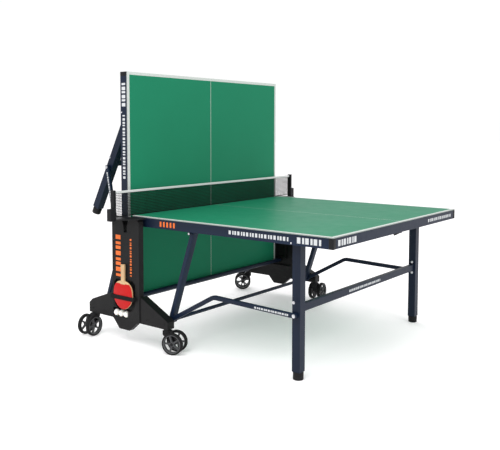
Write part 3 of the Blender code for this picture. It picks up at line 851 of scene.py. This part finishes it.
def grown(name, tree_name, values, points=(), attributes=None):
    """Runs a tree on a set of points and returns the plain mesh."""
    if tree_name not in TREES:
        TREES[tree_name] = TREE_MAKERS[tree_name]()
    tree = TREES[tree_name]
    data = bpy.data.meshes.new(name)
    data.from_pydata([tuple(p) for p in points], [], [])
    for label, rows in (attributes or {}).items():
        layer = data.attributes.new(label, "FLOAT_VECTOR", "POINT")
        layer.data.foreach_set("vector", [number for row in rows for number in row])
    seed = bpy.data.objects.new(name + "_seed", data)
    bpy.context.scene.collection.objects.link(seed)
    modifier = seed.modifiers.new("Grow", "NODES")
    modifier.node_group = tree
    for item in tree.interface.items_tree:
        if item.in_out == "INPUT" and item.name in values:
            modifier[item.identifier] = values[item.name]
    graph = bpy.context.evaluated_depsgraph_get()
    made = bpy.data.meshes.new_from_object(seed.evaluated_get(graph))
    bpy.data.objects.remove(seed)
    return made


def grown_piece(name, tree_name, values, body, finish_name, slot, points=(), attributes=None, **facts):
    """A grown mesh that stands in the flat place of its body, as a finished piece."""
    values = {**values, "Material": look(finish_name)}
    mesh = opened(grown(name, tree_name, values, points, attributes))
    return publish(name, mesh, body, finish_name, slot, **facts)


def facing(direction):
    """Euler turn that points +Z along a direction."""
    turn = Vector(direction).to_track_quat("Z", "Y").to_euler()
    return (turn.x, turn.y, turn.z)


def fasteners(name, places, body, head=0.0065, height=0.004, sides=6, washer=0.009, finish_name="zinc"):
    """Bolt heads: each place is a point on a face and the way out of that face."""
    values = {"Head Radius": head, "Head Height": height, "Sides": sides, "Washer Radius": washer}
    points = [point for point, _ in places]
    turns = [facing(out) for _, out in places]
    return grown_piece(
        name, "fastener", values, body, finish_name, "shaft_steel", points, {"turn": turns}, sharp=30
    )


def bars(name, rows, body, finish_name, slot):
    """Printed bars: each row is a centre and a size."""
    points = [centre for centre, _ in rows]
    sizes = [size for _, size in rows]
    turns = [(0.0, 0.0, 0.0)] * len(rows)
    return grown_piece(name, "bars", {}, body, finish_name, slot, points, {"turn": turns, "size": sizes})


# ------------------------------------------------------------ boards


def board_mesh(half):
    """One playing board: top with metre UVs, pale edge, plain back."""
    x_low, x_high = sorted((half * EDGE_X, half * END_X))
    mesh = block((x_low, -HALF_WIDTH, UNDER_Z), (x_high, HALF_WIDTH, TOP_Z))
    uv = mesh.loops.layers.uv.new("board")
    mesh.normal_update()
    for face in mesh.faces:
        face.material_index = 0 if face.normal.z > 0.5 else 2 if face.normal.z < -0.5 else 1
        for loop in face.loops:
            loop[uv].uv = (abs(loop.vert.co.x), loop.vert.co.y)
    return mesh


class TABLE_OT_boards(bpy.types.Operator):
    """Builds both playing boards with their painted lines and edges"""

    bl_idname = "table.boards"
    bl_label = "Playing Boards"

    def execute(self, context):
        facts = context.scene.table_board
        for name, half in HALVES.items():
            publish(
                name + "_playing_board",
                board_mesh(half),
                name + "_half",
                "board",
                "board_green",
                (name + "_board",),
                bevel=facts.round,
                also=("board_edge", "board_back"),
            )
        return {"FINISHED"}


# ------------------------------------------------------------ folding frame


def corner_cap(half, side):
    """A plastic corner that wraps the side rail and the outer rail."""
    x_out = END_X + 0.0004
    x_in = END_X - 0.026
    y_out = HALF_WIDTH + 0.0004
    y_in = HALF_WIDTH - 0.026
    low, high = RAIL_LOW - 0.0008, RAIL_HIGH + 0.0001
    along_x = sorted((half * x_in, half * x_out))
    along_y = sorted((side * y_in, side * y_out))
    return block((along_x[0], along_y[0], low), (along_x[1], along_y[1], high), 0.0035, 3)


class TABLE_OT_rails(bpy.types.Operator):
    """Builds the apron rails, their corner caps and end plugs, and the guide shafts"""

    bl_idname = "table.rails"
    bl_label = "Apron Rails"

    def execute(self, context):
        facts = context.scene.table_frame
        for name, half in HALVES.items():
            body = name + "_half"
            for part in ("near", "far", "inner", "outer"):
                node = f"{name}_{part}_rail"
                softened(node, f"{name}_{part}_apron", "powder", facts.corner * 0.6)
            caps = merged([corner_cap(half, side) for side in SIDES.values()])
            publish(name + "_corner_caps", caps, body, "cap", "fitting_black")
            middle_z = (RAIL_LOW + RAIL_HIGH) / 2
            plugs = []
            for side in SIDES.values():
                inner, outer = sorted((side * (RAIL_OUT - RAIL_WIDE + 0.002), side * (RAIL_OUT - 0.002)))
                x_pair = sorted((half * (EDGE_X + 0.0010), half * (EDGE_X + 0.012)))
                low = (x_pair[0], inner, middle_z - 0.0195)
                high = (x_pair[1], outer, middle_z + 0.0195)
                plugs.append(block(low, high, 0.0015))
            publish(name + "_rail_plugs", merged(plugs), body, "cap", "fitting_black")
            softened(name + "_guide_shaft", name + "_guide_bar", "shaft", 0.0012, 50)
        return {"FINISHED"}


def foot_mesh(place):
    """A round cup with a rolled lip, a waist and a bevelled sole."""
    radius = FOOT_RADIUS
    profile = [
        (0.0000, radius - 0.0040),
        (0.0015, radius - 0.0012),
        (0.0040, radius),
        (0.0150, radius),
        (0.0165, radius - 0.0012),
        (0.0180, radius - 0.0012),
        (0.0195, radius),
        (0.0370, radius),
        (0.0400, radius - 0.0012),
        (0.0410, radius - 0.0040),
    ]
    return turned(profile, place, (0, 0, 1), 56, closed=False)


class TABLE_OT_legs(bpy.types.Operator):
    """Builds the legs with their plugs, feet and crossbars"""

    bl_idname = "table.legs"
    bl_label = "Legs and Feet"

    def execute(self, context):
        facts = context.scene.table_frame
        for name, half in HALVES.items():
            plugs = []
            for side in SIDES:
                softened(f"{name}_{side}_leg", f"{name}_{side}_leg_tube", "powder", facts.corner)
                foot = FOOT_AT[side]
                place = (half * foot.x, foot.y, 0)
                publish(
                    f"{name}_{side}_foot_cup",
                    foot_mesh(place),
                    f"{name}_{side}_foot",
                    "cap",
                    "fitting_black",
                    (f"{name}_{side}_foot",),
                    sharp=28,
                )
                top = LEG_TOP.z + 0.015
                low = (place[0] - 0.0235, foot.y - 0.0235, top - 0.004)
                high = (place[0] + 0.0235, foot.y + 0.0235, top + 0.0025)
                plugs.append(block(low, high, 0.0020, 3))
            publish(name + "_leg_plugs", merged(plugs), name + "_legs", "cap", "fitting_black")
            softened(name + "_leg_crossbar", name + "_crossbar_tube", "powder", facts.corner)
        return {"FINISHED"}


def arm_mesh(path, half_y, half_width):
    """A flat-sided tube with a turned eye on the axle and a round end."""
    section = round_section(half_width, half_y - 0.0010, 0.0040)
    tube = swept(path, (0, 1, 0), section)
    rings = []
    for place, radius, bore in ((path[0], EYE_RADIUS, EYE_BORE), (path[-1], half_width + 0.0008, 0.0)):
        profile = chamfered(half_y, radius, ARM_EDGE)
        if bore:
            profile = profile + [(half_y, bore), (-half_y, bore)]
        rings.append(turned(profile, place, (0, 1, 0), 40, closed=bool(bore)))
    return merged([tube, *rings])


class TABLE_OT_arms(bpy.types.Operator):
    """Builds the straight braces and the bent struts that fold each half"""

    bl_idname = "table.arms"
    bl_label = "Braces and Struts"

    def execute(self, context):
        facts = context.scene.table_frame
        half_width = facts.arm_width / 2
        for name, half in HALVES.items():
            for side_name, side in SIDES.items():
                strut_y = side * (STRUT_LOW + STRUT_HIGH) / 2
                strut_half = (STRUT_HIGH - STRUT_LOW) / 2
                start = (half * AXLE.x, strut_y, AXLE.z)
                corner = (half * STRUT_BEND[0], strut_y, STRUT_BEND[1])
                stop = (half * LEG_TOP.x, strut_y, STRUT_END_Z)
                path = bent_path(start, corner, stop, facts.bend)
                mesh = arm_mesh(path, strut_half, half_width)
                node = f"{name}_{side_name}_strut"
                publish(node + "_tube", mesh, name + "_struts", "powder", SLOTS[node], (node,))
                brace_half = (BRACE_HIGH - BRACE_LOW) / 2
                brace_y = side * (BRACE_LOW + BRACE_HIGH) / 2
                path = [(half * AXLE.x, brace_y, AXLE.z), (half * BRACE_TOP[0], brace_y, BRACE_TOP[1])]
                mesh = arm_mesh([Vector(p) for p in path], brace_half, half_width)
                boss = [(0.0, 0.0092), (0.0035, 0.0092), (0.0040, 0.0078), (0.0250, 0.0078)]
                foot = (half * BRACE_TOP[0], brace_y + side * brace_half, BRACE_TOP[1])
                pin = turned(boss, foot, (0, side, 0), 32, False)
                node = f"{name}_{side_name}_brace"
                mesh = merged([mesh, pin])
                publish(node + "_tube", mesh, name + "_braces", "powder", SLOTS[node], (node,))
        return {"FINISHED"}


class TABLE_OT_levers(bpy.types.Operator):
    """Rounds the release lever under each outer rail"""

    bl_idname = "table.levers"
    bl_label = "Release Levers"

    def execute(self, context):
        for name in HALVES:
            softened(name + "_release_lever", name + "_lever_grip", "cap", 0.0014, 40)
        return {"FINISHED"}


# ------------------------------------------------------------ base


class TABLE_OT_base(bpy.types.Operator):
    """Rounds the columns, beams, net posts and straps, and finishes the axle tubes"""

    bl_idname = "table.base"
    bl_label = "Wheeled Base"

    def execute(self, context):
        facts = context.scene.table_base
        for side in SIDES:
            softened(side + "_column", side + "_column_shell", "moulding", facts.round)
            softened(side + "_base_beam", side + "_beam_shell", "moulding", facts.round)
            softened(side + "_net_post", side + "_post_bracket", "cap", facts.round * 0.4)
            strap = softened(side + "_strap", side + "_strap_band", "strap", 0.0008)
            middle = sum(corner.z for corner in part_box(side + "_strap")) / 2
            for vertex in strap.data.vertices:
                vertex.co.z = middle + (vertex.co.z - middle) * STRAP_SPREAD
        for node in ("front_base_axle", "rear_base_axle", "centre_tube"):
            low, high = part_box(node)
            centre = (low + high) / 2
            radius = (high.z - low.z) / 2
            reach = (high.y - low.y) / 2
            place = (centre.x - NET_X, 0, centre.z)
            mesh = turned(chamfered(reach, radius, 0.001), place, (0, 1, 0), 40, closed=False)
            publish(node + "_bar", mesh, "root", "powder", "frame_navy", (node,))
        return {"FINISHED"}


class TABLE_OT_bolts(bpy.types.Operator):
    """Puts bolt and screw heads on the legs, arms, rails and mouldings"""

    bl_idname = "table.bolts"
    bl_label = "Bolts and Screws"

    def execute(self, context):
        head = context.scene.table_base.screw
        for name, half in HALVES.items():
            legs, struts, rails, braces = [], [], [], []
            leg_x = half * LEG_TOP.x
            for side in SIDES.values():
                out = (0, side, 0)
                legs.append(((leg_x, side * (LEG_HIGH + 0.0002), LEG_BOLT_Z), out))
                for z in (CROSSBAR_LOW - CROSSBAR_BOLT_GAP, CROSSBAR_HIGH + CROSSBAR_BOLT_GAP):
                    legs.append(((leg_x, side * (LEG_LOW - 0.0002), z), (0, -side, 0)))
                struts.append(((leg_x, side * (STRUT_HIGH + 0.0001), STRUT_END_Z), out))
                struts.append(((half * AXLE.x, side * (STRUT_HIGH + 0.0001), AXLE.z), out))
                rails.append(((leg_x, side * (RAIL_OUT + 0.0001), RAIL_LOW + 0.009), out))
                brace_y = side * (BRACE_HIGH + BRACE_BOLT_OUT)
                braces.append(((half * BRACE_TOP[0], brace_y, BRACE_TOP[1]), out))
            fasteners(name + "_leg_bolts", legs, name + "_legs", head * 0.85, washer=0.0078)
            fasteners(name + "_strut_bolts", struts, name + "_struts", head, washer=0.0095)
            fasteners(name + "_rail_bolts", rails, name + "_half", head * 0.55, 0.0018, 20, 0.0048)
            fasteners(name + "_brace_bolts", braces, name + "_braces", head * 0.7, 0.0030, 6, 0.0062)
        screws = []
        for side in SIDES.values():
            face = side * (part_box("far_column")[1].y + 0.0002)
            for x in COLUMN_SCREWS_X:
                for z in COLUMN_SCREWS_Z:
                    screws.append(((x, face, z), (0, side, 0)))
            beam_face = side * (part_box("far_base_beam")[1].y + 0.0002)
            for x in BEAM_SCREWS_X:
                screws.append(((x, beam_face, BEAM_SCREW_Z), (0, side, 0)))
        fasteners("base_screws", screws, "root", head * 0.55, 0.0020, 24, 0.0050, "cap")
        return {"FINISHED"}


# ------------------------------------------------------------ printed marks


def dashes(start, stop, widths, gap_share):
    """Centres and widths that fill a run in a repeating rhythm."""
    rhythm = []
    reach = start
    step = 0
    sign = 1 if stop > start else -1
    while abs(stop - reach) > 1e-6 and sign * (stop - reach) > widths[step % len(widths)]:
        width = widths[step % len(widths)]
        rhythm.append((reach + sign * width / 2, width))
        reach += sign * width * (1 + gap_share)
        step += 1
    return rhythm


class TABLE_OT_marks(bpy.types.Operator):
    """Prints plain orange and pale bars on the rails, columns, crossbars and struts"""

    bl_idname = "table.marks"
    bl_label = "Printed Bars"

    def execute(self, context):
        film = context.scene.table_marks.proud
        rail_z = (RAIL_LOW + RAIL_HIGH) / 2
        for name, half in HALVES.items():
            face_y = RAIL_OUT + film / 2
            accent, light = [], []
            for side in SIDES.values():
                for count in range(5):
                    centre = (half * (0.234 + 0.026 * count), side * face_y, rail_z)
                    accent.append((centre, (0.013, film, 0.029)))
                for centre, width in dashes(0.735, 1.115, (0.014, 0.008, 0.011), 0.75):
                    light.append(((half * centre, side * face_y, rail_z), (width, film, 0.020)))
                for centre, width in dashes(1.165, 1.325, (0.020, 0.012), 0.5):
                    light.append(((half * centre, side * face_y, rail_z), (width, film, 0.030)))
            face_x = half * (END_X - 0.001 + film / 2)
            for centre, width in dashes(-0.715, -0.535, (0.022, 0.013), 0.5):
                light.append(((face_x, centre, rail_z), (film, width, 0.030)))
            for centre, width in dashes(0.345, 0.715, (0.015, 0.008, 0.011), 0.75):
                light.append(((face_x, centre, rail_z), (film, width, 0.018)))
            bars(name + "_rail_accents", accent, name + "_half", "accent", "paddle_red")
            bars(name + "_rail_marks", light, name + "_half", "light", "ball_white")
            low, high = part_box("front_leg_crossbar")
            bar_face = half * (high.x - NET_X + film / 2)
            bar_z = (low.z + high.z) / 2
            rows = []
            for centre, width in dashes(-0.190, 0.190, (0.014, 0.008, 0.011), 0.5):
                rows.append(((bar_face, centre, bar_z), (film, width, 0.013)))
            bars(name + "_crossbar_marks", rows, name + "_legs", "light", "ball_white")
            self.strut_marks(name, half, film)
        self.column_marks(film)
        return {"FINISHED"}

    def strut_marks(self, name, half, film):
        """Small bars along the straight outer run of each strut."""
        points, sizes, turns = [], [], []
        slope = (STRUT_END_Z - STRUT_BEND[1]) / (LEG_TOP.x - STRUT_BEND[0])
        turn = -math.atan(slope) * half
        for side in SIDES.values():
            y = side * (STRUT_HIGH + film / 2 - 0.0001)
            for centre, width in dashes(0.885, 1.100, (0.012, 0.007, 0.010), 0.5):
                z = STRUT_BEND[1] + slope * (centre - STRUT_BEND[0])
                points.append((half * centre, y, z))
                sizes.append((width, film, 0.010))
                turns.append((0.0, turn, 0.0))
        facts = {"turn": turns, "size": sizes}
        grown_piece(
            name + "_strut_marks", "bars", {}, name + "_struts", "light", "ball_white", points, facts
        )

    def column_marks(self, film):
        """A broad and a narrow upright band of orange blocks beside the paddle recess."""
        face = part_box("far_column")[1].y + film / 2
        rows = []
        for side in SIDES.values():
            for centre, height in dashes(0.645, 0.395, (0.026, 0.016, 0.020), 0.55):
                rows.append(((-0.061, side * face, centre), (0.042, film, height)))
            for centre, height in dashes(0.630, 0.395, (0.012, 0.006, 0.009), 0.8):
                rows.append(((0.046, side * face, centre), (0.014, film, height)))
        bars("column_accents", rows, "root", "accent", "paddle_red")


# ------------------------------------------------------------ net


class TABLE_OT_net(bpy.types.Operator):
    """Builds the stretched netting and the tapes round it"""

    bl_idname = "table.net"
    bl_label = "Net"

    def execute(self, context):
        facts = context.scene.table_net
        low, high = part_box("net")
        hem = 0.006
        bottom, top = low.z + hem / 2, high.z - facts.tape_height / 2
        values = {
            "Length": high.y - low.y - 0.004,
            "Height": top - bottom,
            "Pitch": facts.pitch,
            "Strand": facts.strand,
            "Material": look("cord"),
        }
        data = grown("net_mesh", "netting", values)
        data.transform(Matrix.Translation((NET_X, 0, (top + bottom) / 2)))
        net = place_data("net_mesh", data, "root", "cord", "net_black", ("net",))
        edge = (high.y - low.y) / 2 - 0.001
        tape = self.band(edge, high.z - facts.tape_height, high.z, 0.0019)
        tape = publish("net_top_tape", tape, "root", "tape", "ball_white")
        foot = self.band(edge, low.z, low.z + hem, 0.0016)
        foot = publish("net_bottom_tape", foot, "root", "cord", "net_black")
        ends = []
        for side in SIDES.values():
            y_low, y_high = sorted((side * (edge - 0.012), side * edge))
            ends.append(block((-0.0014, y_low, low.z), (0.0014, y_high, high.z - 0.001), 0.0008))
        ends = publish("net_end_tapes", merged(ends), "root", "cord", "net_black")
        return {"FINISHED"}

    def band(self, reach, low, high, half_thick):
        """A folded tape with a rounded top edge, sagging a hair between the posts."""
        section = round_section((high - low) / 2, half_thick, half_thick * 0.9, 3)
        middle = (high + low) / 2
        steps = 24
        path = []
        for step in range(steps + 1):
            y = -reach + 2 * reach * step / steps
            path.append((0, y, middle - 0.0006 * (1 - (y / reach) ** 2)))
        return swept(path, (1, 0, 0), section)


# ------------------------------------------------------------ casters


TYRE_HALF = [
    (0.0105, 0.0525),
    (0.0118, 0.0545),
    (0.0119, 0.0580),
    (0.0104, 0.0610),
    (0.0070, 0.0624),
    (0.0062, 0.0617),
    (0.0050, 0.0617),
    (0.0042, 0.0625),
]
RIM_HALF = [(0.0085, 0.0475), (0.0100, 0.0482), (0.0114, 0.0500), (0.0114, 0.0524)]
HUB_HALF = [(0.0118, 0.0054), (0.0118, 0.0112), (0.0105, 0.0125)]
CAP_PROFILE = [(0.0100, 0.0095), (0.0128, 0.0095), (0.0138, 0.0085), (0.0145, 0.0050)]
SPOKE_INNER, SPOKE_OUTER, SPOKE_DEPTH = 0.0105, 0.0490, 0.0150


def both_faces(half, first):
    """A half profile and its mirror, as one ring that starts the given count before the half."""
    ring = half + [(-a, r) for a, r in reversed(half)]
    return ring[-first:] + ring[:-first]


class TABLE_OT_casters(bpy.types.Operator):
    """Builds the twin-wheel casters: forks, hoods, tyres, spoked rims and hub caps"""

    bl_idname = "table.casters"
    bl_label = "Casters"

    def execute(self, context):
        for half in HALVES:
            for side in SIDES:
                name = f"{half}_{side}"
                softened(name + "_caster_fork", name + "_fork_body", "cap", 0.0020, 40)
                for hand, sign in (("left", 1), ("right", -1)):
                    self.wheel(context, f"{name}_{hand}", sign)
        return {"FINISHED"}

    def wheel(self, context, name, sign):
        facts = context.scene.table_wheels
        centre = joint_place(name + "_roll")
        axis = Vector(JOINTS[name + "_roll"]["axis"]).normalized() * sign
        body = name + "_wheel"
        tyre = turned(both_faces(TYRE_HALF, 1), (0, 0, 0), (0, 1, 0), 72)
        rim = turned(both_faces(RIM_HALF, 2), (0, 0, 0), (0, 1, 0), 72)
        hub = turned(both_faces(HUB_HALF, 0), (0, 0, 0), (0, 1, 0), 40)
        values = {
            "Spokes": facts.spokes,
            "Inner Radius": SPOKE_INNER,
            "Outer Radius": SPOKE_OUTER,
            "Width": facts.spoke_width,
            "Depth": SPOKE_DEPTH,
            "Material": look("rim"),
        }
        spokes = opened(grown(name + "_spokes", "spokes", values))
        bmesh.ops.bevel(
            spokes,
            geom=[e for e in spokes.edges if e.is_manifold and e.calc_face_angle(0) > 1.0],
            offset=0.0012,
            segments=2,
            affect="EDGES",
            profile=0.5,
        )
        turn = Vector((0, 1, 0)).rotation_difference(axis).to_matrix().to_4x4()
        place = Matrix.Translation(centre) @ turn
        for mesh in (tyre, rim, hub, spokes):
            mesh.transform(place)
        cap = turned(CAP_PROFILE, centre, axis, 40, closed=False)
        rim = merged([rim, hub, spokes])
        publish(name + "_tyre", tyre, body, "tyre", "tyre_black", (body,), sharp=32)
        publish(name + "_rim", rim, body, "rim", "tyre_black", sharp=32)
        publish(name + "_hub_cap", cap, body, "cap", "tyre_black", sharp=32)


# ------------------------------------------------------------ paddle and balls


def blade_outline(half_x, half_z, centre_x, centre_z, steps=72, flat=0.0):
    """An egg-shaped blade, squarer towards the grip."""
    points = []
    for step in range(steps):
        turn = 2 * math.pi * step / steps
        power = 0.80 if step < steps / 2 else 1.08
        x = half_x * math.copysign(abs(math.cos(turn)) ** power, math.cos(turn))
        z = half_z * math.copysign(abs(math.sin(turn)) ** power, math.sin(turn))
        points.append((centre_x + x, min(centre_z + z, centre_z + half_z - flat)))
    return points


def slab(outline, y_low, y_high, bevel):
    mesh = bmesh.new()
    face = mesh.faces.new([mesh.verts.new((x, y_low, z)) for x, z in outline])
    grown_out = bmesh.ops.extrude_face_region(mesh, geom=[face])
    moved = [v for v in grown_out["geom"] if isinstance(v, bmesh.types.BMVert)]
    bmesh.ops.translate(mesh, vec=(0, y_high - y_low, 0), verts=moved)
    bmesh.ops.remove_doubles(mesh, verts=mesh.verts, dist=1e-6)
    bmesh.ops.recalc_face_normals(mesh, faces=mesh.faces)
    rim = [e for e in mesh.edges if e.is_manifold and e.calc_face_angle(0) > 1.2]
    bmesh.ops.bevel(mesh, geom=rim, offset=bevel, segments=2, affect="EDGES", profile=0.5)
    return mesh


class TABLE_OT_paddle(bpy.types.Operator):
    """Builds the paddle: plywood blade, two rubber sheets and a shaped grip"""

    bl_idname = "table.paddle"
    bl_label = "Paddle"

    def execute(self, context):
        low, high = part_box("paddle")
        centre_x = (low.x + high.x) / 2 - NET_X
        middle_y = (low.y + high.y) / 2
        half_x = (high.x - low.x) / 2
        half_z = 0.085
        centre_z = low.z + half_z
        outline = blade_outline(half_x, half_z, centre_x, centre_z)
        blade = slab(outline, middle_y - 0.0032, middle_y + 0.0032, 0.0006)
        neck = self.grip(centre_x, middle_y, centre_z + half_z - 0.020, high.z)
        publish("paddle_blade", blade, "paddle", "wood", "paddle_red", ("paddle",))
        publish("paddle_grip", neck, "paddle", "wood", "paddle_red", sharp=50)
        sheets = []
        for side in SIDES.values():
            inner = middle_y + side * 0.0033
            outer = middle_y + side * 0.0053
            outline = blade_outline(half_x - 0.0012, half_z - 0.0012, centre_x, centre_z, flat=0.016)
            sheets.append(slab(outline, *sorted((inner, outer)), 0.0005))
        publish("paddle_rubbers", merged(sheets), "paddle", "rubber", "paddle_red")
        return {"FINISHED"}

    def grip(self, x, y, low_z, high_z):
        """A flared grip: narrow at the blade, waisted, and wider at its end."""
        stations = (
            (0.00, 0.022, 0.0060),
            (0.10, 0.0165, 0.0080),
            (0.22, 0.0130, 0.0102),
            (0.50, 0.0128, 0.0108),
            (0.80, 0.0136, 0.0110),
            (0.97, 0.0142, 0.0110),
            (1.00, 0.0130, 0.0098),
        )
        mesh = bmesh.new()
        rings = []
        for share, half_x, half_y in stations:
            z = low_z + (high_z - low_z) * share
            section = round_section(half_x, half_y, min(half_x, half_y) * 0.7, 4)
            rings.append([mesh.verts.new((x + a, y + b, z)) for a, b in section])
        return skin(mesh, zip(rings, rings[1:]), (rings[0], rings[-1]))


class TABLE_OT_balls(bpy.types.Operator):
    """Builds the three stored balls"""

    bl_idname = "table.balls"
    bl_label = "Balls"

    def execute(self, context):
        for number in (1, 2, 3):
            node = f"ball_{number}"
            low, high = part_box(node)
            centre = (low + high) / 2 - Vector((NET_X, 0, 0))
            mesh = bmesh.new()
            place = Matrix.Translation(centre)
            radius = (high.z - low.z) / 2
            bmesh.ops.create_uvsphere(mesh, u_segments=48, v_segments=24, radius=radius, matrix=place)
            publish(node + "_shell", mesh, "root", "ball", "ball_white", (node,), sharp=180)
        return {"FINISHED"}


# ------------------------------------------------------------ stage


class TABLE_OT_stage(bpy.types.Operator):
    """Sets up the pale floor, the soft lights and the camera"""

    bl_idname = "table.stage"
    bl_label = "Studio Stage"

    def execute(self, context):
        facts = context.scene.table_stage
        self.backdrop(facts)
        self.world(context.scene)
        self.lights()
        self.camera(context.scene, facts)
        return {"FINISHED"}

    def backdrop(self, facts):
        mesh = bmesh.new()
        bmesh.ops.create_circle(mesh, cap_ends=True, segments=96, radius=60)
        data = closed_up("studio_floor", mesh)
        data.materials.append(floor_material(facts.floor))
        floor = bpy.data.objects.new("studio_floor", data)
        bpy.context.scene.collection.objects.link(floor)

    def world(self, scene):
        world = bpy.data.worlds.new("studio_air")
        world.use_nodes = True
        air = world.node_tree.nodes["Background"]
        air.inputs["Color"].default_value = (1.0, 1.0, 1.0, 1.0)
        air.inputs["Strength"].default_value = 1.02
        scene.world = world
        scene.view_settings.view_transform = "Standard"

    def lights(self):
        lamps = (
            ("key_panel", (0.5, -3.5, 4.6), 3.2, 150.0),
            ("side_panel", (4.6, -0.6, 3.4), 2.6, 70.0),
            ("back_panel", (-3.4, 2.8, 4.2), 3.0, 60.0),
        )
        for name, place, size, power in lamps:
            data = bpy.data.lights.new(name, "AREA")
            data.energy = power
            data.size = size
            lamp = bpy.data.objects.new(name, data)
            lamp.location = place
            aim = Vector((0, 0, 0.6)) - Vector(place)
            lamp.rotation_euler = aim.to_track_quat("-Z", "Y").to_euler()
            bpy.context.scene.collection.objects.link(lamp)

    def camera(self, scene, facts):
        data = bpy.data.cameras.new("studio_camera")
        data.lens = facts.lens
        data.shift_x = 0.0404
        data.shift_y = -0.0954
        data.dof.use_dof = False
        camera = bpy.data.objects.new("studio_camera", data)
        camera.location = (3.0546 + NET_X, -3.6504, 1.2768)
        camera.rotation_euler = (math.radians(86.01), 0, math.radians(38.674))
        scene.collection.objects.link(camera)
        scene.camera = camera


# ------------------------------------------------------------ panel and registration

BUILD_ORDER = (
    TABLE_OT_stage,
    TABLE_OT_boards,
    TABLE_OT_rails,
    TABLE_OT_legs,
    TABLE_OT_arms,
    TABLE_OT_levers,
    TABLE_OT_base,
    TABLE_OT_bolts,
    TABLE_OT_marks,
    TABLE_OT_net,
    TABLE_OT_casters,
    TABLE_OT_paddle,
    TABLE_OT_balls,
)


class TABLE_PT_build(bpy.types.Panel):
    """Lists the pieces of the table and their settings"""

    bl_idname = "TABLE_PT_build"
    bl_label = "Ping Pong Table"
    bl_space_type = "VIEW_3D"
    bl_region_type = "UI"
    bl_category = "Ping Pong Table"

    def draw(self, context):
        layout = self.layout
        for operator in BUILD_ORDER:
            layout.operator(operator.bl_idname)
        for name in SETTINGS:
            group = getattr(context.scene, name)
            column = layout.box().column()
            for label in group.__annotations__:
                column.prop(group, label)


CLASSES = (*SETTINGS.values(), *BUILD_ORDER, TABLE_PT_build)


def register():
    for one in CLASSES:
        bpy.utils.register_class(one)
    for name, group in SETTINGS.items():
        setattr(bpy.types.Scene, name, PointerProperty(type=group))


def unregister():
    for name in SETTINGS:
        delattr(bpy.types.Scene, name)
    for one in reversed(CLASSES):
        bpy.utils.unregister_class(one)


def main():
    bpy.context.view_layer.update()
    register()
    for operator in BUILD_ORDER:
        group, label = operator.bl_idname.split(".")
        getattr(getattr(bpy.ops, group), label)()


if __name__ == "__main__":
    main()
